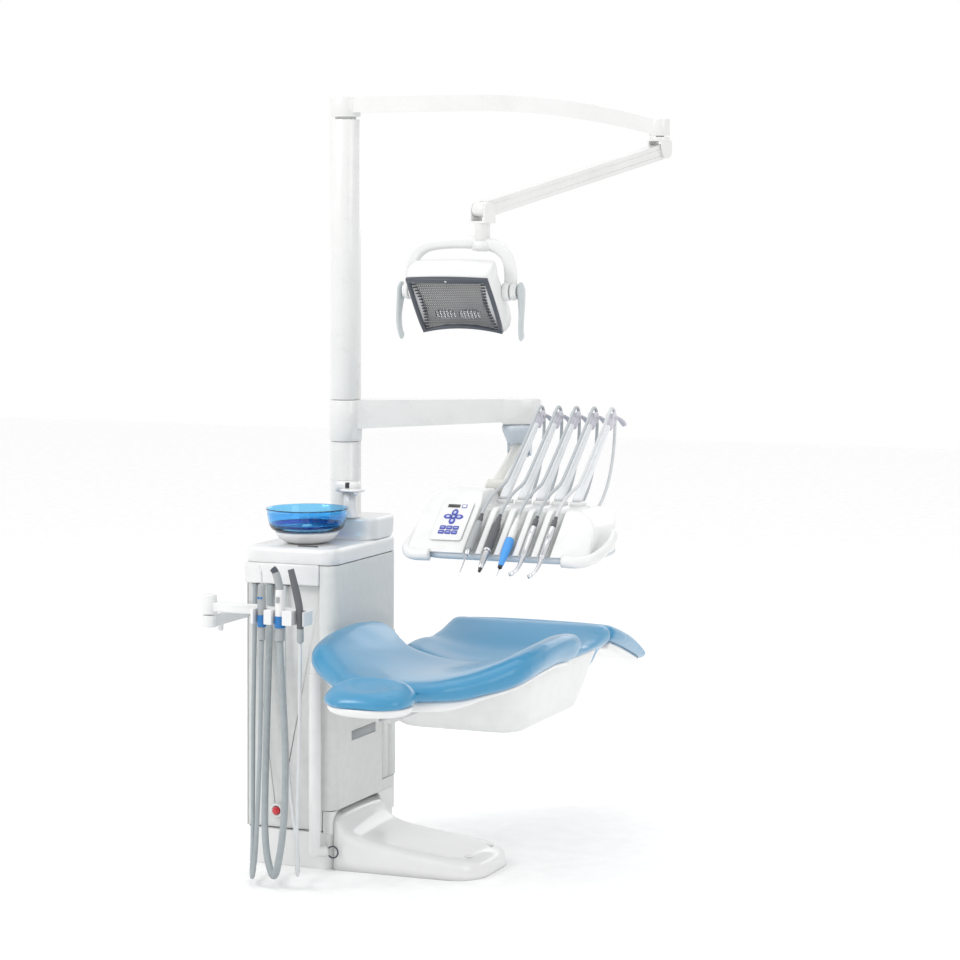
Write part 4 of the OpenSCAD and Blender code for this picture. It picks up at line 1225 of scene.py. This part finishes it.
def make_top():
    """The cabinet's top: a lid with a soft edge, the raised rear with a hollow skirt, a drawer."""
    lid = []
    for grow, z in ((-0.001, 0.8552), (0.0, 0.8575), (0.0, 0.885), (-0.002, 0.893), (-0.006, 0.898),
                    (-0.012, 0.900), (-0.09, 0.9005)):
        loop = plate_loop(-0.163 - grow, 0.125 + grow, -0.335 - grow, 0.095 + grow, max(0.012, 0.035 + grow))
        lid.append([(x, y, z) for x, y in loop])
    ride(loft("top_lid", lid, WHITE), "root", "cover", "top_cover")
    rise = []
    for grow, z in ((0.034, 0.9003), (0.020, 0.9025), (0.012, 0.907), (0.006, 0.916), (0.002, 0.930),
                    (0.0, 0.950), (-0.001, 0.956), (-0.004, 0.960), (-0.010, 0.962), (-0.060, 0.9622)):
        loop = plate_loop(-0.128 - grow, 0.123 + min(0, grow), -0.072 - grow, 0.0935 + min(0, grow),
                          max(0.010, 0.030 + grow))
        rise.append([(x, y, z) for x, y in loop])
    ride(loft("top_rise", rise, WHITE), "root", "cover")
    ride(block("top_drawer", (-0.158, -0.3405, 0.7955), (0.078, -0.30, 0.8548), WHITE, 0.006, 4),
         "root", "cover")
    # Painted shade: a thin dark plate on the lid stands in for the shaded opening of the drain slot.
    slot = [(x, y, z) for z in (0.9000, 0.9030)
            for x, y in plate_loop(-0.010, 0.052, -0.2965, -0.2840, 0.004, 48)]
    ride(loft("drain_slot_painted_shade", [slot[:48], slot[48:]], DARK), "root", "cover")


def make_cabinet_trim():
    strips = [block(f"slot_brush_{i}", (0.1165, low, 0.1965), (0.1225, high, 0.6215), PANEL, 0.0008, 2)
              for i, (low, high) in enumerate(((-0.0155, 0.0326), (0.0334, 0.0815)))]
    ride(join("slot_brushes", strips), "root", "panel")
    ride(block("grip_insert", (0.1195, -0.2185, 0.3455), (0.1243, -0.0615, 0.3715), GREY, 0.001, 2),
         "root", "panel")
    arc = np.array([(0.1225 + 0.016 * cos(a), -0.3385, 0.052 + 0.016 * sin(a))
                    for a in np.linspace(radians(-140), radians(140), 40)])
    ride(tube("pipe_clip", arc, 0.0022, LAMP_GREY, 10, (0, 1, 0)), "root", "panel")
    ride(lathe("button_ring", [(0.0125, 0), (0.0125, 0.0035), (0.0145, 0.005), (0.0185, 0.005),
                               (0.0200, 0.003), (0.0200, 0)], WHITE, (-0.060, -0.3255, 0.152),
               (0, -1, 0)), "root", "panel")
    cap = [(0.0110, 0), (0.0113, 0.0135), (0.0106, 0.0160), (0.0080, 0.0178), (0.0040, 0.0186)]
    ride(lathe("button_cap", cap, RED, (-0.060, -0.3180, 0.152), (0, -1, 0)), "button", "button",
         "stop_button")
    ports = [disc(f"hose_port_{i}", 0.0125, 0, 0.010, DARK, (x, -0.3185, 0.801), (0, 0, -1), 0.002)
             for i, x in enumerate((-0.129, -0.080, -0.034))]
    ride(join("hose_ports", ports), "root", "panel")


def make_bowl():
    x, y = -0.027, -0.200
    dish = [(0.046, 0.9005), (0.058, 0.9025), (0.071, 0.908), (0.082, 0.916), (0.0895, 0.925),
            (0.0925, 0.933), (0.0905, 0.9355), (0.060, 0.9355)]
    ride(lathe("bowl_dish", dish, WHITE, (x, y, 0), sides=64), "root", "cover", "bowl_base")
    ride(lathe("bowl_spindle", [(0.0155, 0.930), (0.0155, 0.948), (0.013, 0.9505), (0.006, 0.9508)],
               WHITE, (x, y, 0)), "root", "cover")
    wall = [(0.0170, 0.0000), (0.0880, 0.0000), (0.0975, 0.0018), (0.1035, 0.0062), (0.1072, 0.0130),
            (0.1102, 0.0230), (0.1132, 0.0360), (0.1158, 0.0500), (0.1170, 0.0600), (0.1183, 0.0612),
            (0.1185, 0.0632), (0.1170, 0.0645), (0.1148, 0.0638), (0.1136, 0.0590), (0.1126, 0.0500),
            (0.1100, 0.0370), (0.1070, 0.0240), (0.1036, 0.0150), (0.0985, 0.0092), (0.0880, 0.0066),
            (0.0170, 0.0055)]
    ride(lathe("bowl_glass", wall, GLASS, (x, y, 0.936), sides=72, caps=False), "bowl",
         "bowl_glass", "glass_bowl")
    ring = [(0.0840, 0.0076), (0.0975, 0.0102), (0.1022, 0.0156), (0.1046, 0.0205), (0.1034, 0.0207),
            (0.1008, 0.0166), (0.0964, 0.0116), (0.0840, 0.0090)]
    ride(lathe("bowl_band", ring, GLASS_BASE, (x, y, 0.936), sides=64, caps=False), "bowl",
         "bowl_glass")


def make_filler():
    """The cup filler: a round stem, a flat beak over the bowl and a dark sensor window."""
    stem = [(0.0300, 0.9622), (0.0290, 0.9650), (0.0240, 0.9760), (0.0205, 0.9980), (0.0190, 1.0370)]
    ride(lathe("filler_stem", stem, WHITE, (0.042, -0.056, 0)), "root", "cover", "cup_filler")
    head = loft("filler_head", [
        [(x, y, z) for x, y in plate_loop(0.000 - g, 0.076 + g, -0.087 - g, -0.040 + g, 0.018)]
        for g, z in ((-0.008, 1.0360), (-0.003, 1.0370), (0, 1.0400), (0, 1.0600), (-0.003, 1.0655),
                     (-0.008, 1.0680))
    ], WHITE)
    beak = loft("filler_beak", [
        [(x, y, z) for x, y in plate_loop(0.030 - g, 0.100 + g, -0.1178 - g, -0.060 + g, 0.022)]
        for g, z in ((-0.004, 1.0400), (0, 1.0415), (0, 1.0465), (-0.004, 1.0480))
    ], WHITE)
    ride(join("filler_top", [head, beak]), "root", "cover")
    ride(block("filler_window", (0.040, -0.0886, 1.0490), (0.053, -0.0820, 1.0655), BLACK, 0.0015, 3),
         "root", "cover")
    ride(disc("filler_nozzle", 0.0065, 0, 0.009, CHROME, (0.080, -0.098, 1.0402), (0, 0, -1), 0.001),
         "root", "cover")


# ---------------------------------------------------------------- assistant's holder and tools

ASSIST_X = (0.034, 0.090, 0.152)
ASSIST_Y = -0.600


def make_assist_holder():
    outline = [(0.006, -0.572), (0.009, -0.560), (0.018, -0.553), (0.160, -0.553), (0.169, -0.558),
               (0.173, -0.570), (0.173, -0.610), (0.1715, -0.6205)]
    for x in ASSIST_X[::-1]:
        outline.append((x + 0.0160, -0.6215))
        outline += [(x + 0.0158 * cos(a), ASSIST_Y + 0.0158 * sin(a))
                    for a in np.linspace(0, pi, 13)]
        outline.append((x - 0.0163, -0.6215))
    outline += [(0.010, -0.6205), (0.006, -0.612)]
    holder = loft("assist_holder", [[(x, y, z) for x, y in outline] for z in (0.726, 0.766)], WHITE)
    soften(holder, 0.0050, 4, 35).data.shade_smooth()
    ride(holder, "assist", "cover", "assist_arm")
    beam = block("assist_beam", (-0.150, -0.572, 0.7435), (0.030, -0.550, 0.7705), WHITE, 0.005, 4)
    hub = lathe("assist_hub", rounded_profile([(0.021, 0.7355, 0.7900)], 0.003), WHITE,
                (-0.150, -0.560, 0))
    ride(join("assist_boom", [beam, hub]), "assist", "cover")


def make_assist_tools():
    """The syringe, both suction handles and the short cuffs where their hoses end."""
    cuffs = []
    for i, (x, r) in enumerate(zip(ASSIST_X, (0.0100, 0.0134, 0.0095))):
        cuff = lathe(f"assist_cuff_{i + 1}", rounded_profile([(r, 0.6805, 0.7180)], 0.002), GREY,
                     (x, ASSIST_Y, 0))
        ride(cuff, "assist", "tool_grey")
        cuffs.append(cuff)
    for i, (x, r) in enumerate(zip(ASSIST_X[:2], (0.0128, 0.0153))):
        band = lathe(f"assist_band_{i + 1}", rounded_profile([(r, 0.7165, 0.7490)], 0.0012),
                     RING_BLUE, (x, ASSIST_Y, 0))
        ride(band, "assist", "tool_grey")
    x0, x1, x2 = ASSIST_X
    body = lathe("syringe_body", [
        (0.0085, 0.7175), (0.0108, 0.7200), (0.0112, 0.7600), (0.0120, 0.7700), (0.0112, 0.8000),
        (0.0098, 0.8120), (0.0105, 0.8200), (0.0095, 0.8300), (0.0060, 0.8340),
    ], GREY, (x0, ASSIST_Y, 0))
    bend, _ = smooth_path([(x0, ASSIST_Y, 0.832), (x0, ASSIST_Y, 0.850), (x0 - 0.002, ASSIST_Y, 0.868),
                           (x0 - 0.009, ASSIST_Y, 0.884)], 0.002)
    needle = tube("syringe_needle", bend, 0.0022, CHROME, 12)
    keys = [disc(f"syringe_key_{s}", 0.0035, 0, 0.002, RING_BLUE,
                 (x0 + s * 0.0045, ASSIST_Y - 0.0108, 0.796), (0, -1, 0), 0.0006) for s in (-1, 1)]
    ride(join("assist_syringe_tool", [body, needle, *keys]), "assist", "tool_grey", "assist_syringe")
    grip = lathe("suction_grip", [
        (0.0120, 0.7175), (0.0142, 0.7200), (0.0145, 0.7640), (0.0136, 0.7900), (0.0122, 0.8180),
        (0.0108, 0.8210),
    ], WHITE, (x1, ASSIST_Y, 0))
    neck_path, _ = smooth_path([(x1, ASSIST_Y, 0.812), (x1 - 0.001, ASSIST_Y, 0.826),
                                (x1 - 0.007, ASSIST_Y, 0.850), (x1 - 0.013, ASSIST_Y, 0.866)], 0.003)
    neck = tube("suction_neck", neck_path, 0.0108, GREY, 24)
    mouth_path, _ = smooth_path([(x1 - 0.012, ASSIST_Y, 0.864), (x1 - 0.016, ASSIST_Y, 0.871),
                                 (x1 - 0.022, ASSIST_Y, 0.877)], 0.002)
    mouth = tube("suction_mouth", mouth_path, 0.0098, LAMP_GREY, 24)
    lever = block("suction_lever", (x1 - 0.005, ASSIST_Y - 0.0165, 0.786),
                  (x1 + 0.005, ASSIST_Y - 0.0115, 0.802), GREY, 0.0015, 3)
    ride(join("suction_large_tool", [grip, neck, mouth, lever]), "assist", "cover", "suction_large")
    lean = [(x2, ASSIST_Y, 0.7175), (x2 - 0.002, ASSIST_Y, 0.768), (x2 - 0.012, ASSIST_Y, 0.815),
            (x2 - 0.029, ASSIST_Y, 0.878)]
    path, _ = smooth_path(lean, 0.003)
    sections = []
    for i in range(len(path)):
        f = i / (len(path) - 1)
        wide, deep = 0.0095 + 0.0015 * sin(pi * f), 0.0095 - 0.0045 * f
        sections.append([(wide * cos(a), deep * sin(a)) for a in np.linspace(0, 2 * pi, 24, endpoint=False)])
    flat = sweep("suction_small_tool", path, sections, DARK, up=(0, 1, 0))
    ride(flat, "assist", "tool_grey", "suction_small")
    return cuffs


def round_node_edges():
    """Bevels the sharp edges of the frame's own nodes that stay in view."""
    for name in FINISHES:
        if name.startswith(("hose_", "whip_")):
            continue
        obj = NODES[name]
        weld = obj.modifiers.new("weld", "WELD")
        weld.merge_threshold = 0.00002
        bevel = obj.modifiers.new("bevel", "BEVEL")
        bevel.width = 0.0022
        bevel.segments = 2
        bevel.limit_method = "ANGLE"
        bevel.angle_limit = radians(40)
        bevel.harden_normals = True


FINISHES = {
    "base_plate": CAST, "base_foot": CAST, "lift_column": STEEL, "front_panel": PANEL,
    "side_panel": PANEL, "rear_shell": PANEL, "top_cover": WHITE, "bowl_base": WHITE,
    "cup_filler": WHITE, "mast": ENAMEL, "drain_pipe": WHITE, "assist_bracket": WHITE,
    "stop_button": RED, "glass_bowl": GLASS, "lift_arm": ENAMEL, "seat_shell": WHITE,
    "seat_cushion": LEATHER, "backrest_shell": WHITE, "backrest_cushion": LEATHER,
    "headrest_stem": STEEL, "headrest_shell": WHITE, "headrest_cushion": LEATHER,
    "legrest_shell": WHITE, "legrest_cushion": LEATHER, "light_arm": ENAMEL,
    "light_elbow_hub": ENAMEL, "spring_arm": ENAMEL, "light_post": ENAMEL,
    "light_yoke": WHITE, "light_head": WHITE, "light_handles": GREY, "delivery_arm": ENAMEL,
    "elbow_cone": TRAY, "console_arm": BEIGE, "console_knuckle": WHITE,
    "console_shell": WHITE, "console_tray": TRAY, "keypad": KEY_BLUE, "air_syringe": GREY,
    "micromotor": DARK, "scaler": GRIP_BLUE, "contra_angle": CHROME, "turbine": CHROME,
    "assist_arm": WHITE, "assist_syringe": GREY, "suction_large": WHITE,
    "suction_small": GREY, "syringe_hose": HOSE, "suction_hose": HOSE, "saliva_hose": HOSE,
}
for i in range(1, 6):
    FINISHES[f"whip_{i}"] = ENAMEL
    FINISHES[f"hose_{i}"] = HOSE


def finish_nodes():
    for name, mat in FINISHES.items():
        obj = NODES[name]
        obj.data.materials.clear()
        obj.data.materials.append(mat)



make_camera()
make_studio()
make_floor()
finish_nodes()
make_cushions()
make_chair_shells()
make_console_shell()
make_tray()
make_keypad()
make_console_hoses(make_tools())
make_whips()
make_console_arm_trim()
make_lamp_head()
make_lamp_yoke()
make_lamp_handles()
make_foot()
make_top()
make_cabinet_trim()
make_bowl()
make_filler()
make_assist_holder()
make_assist_hoses(make_assist_tools())
round_node_edges()
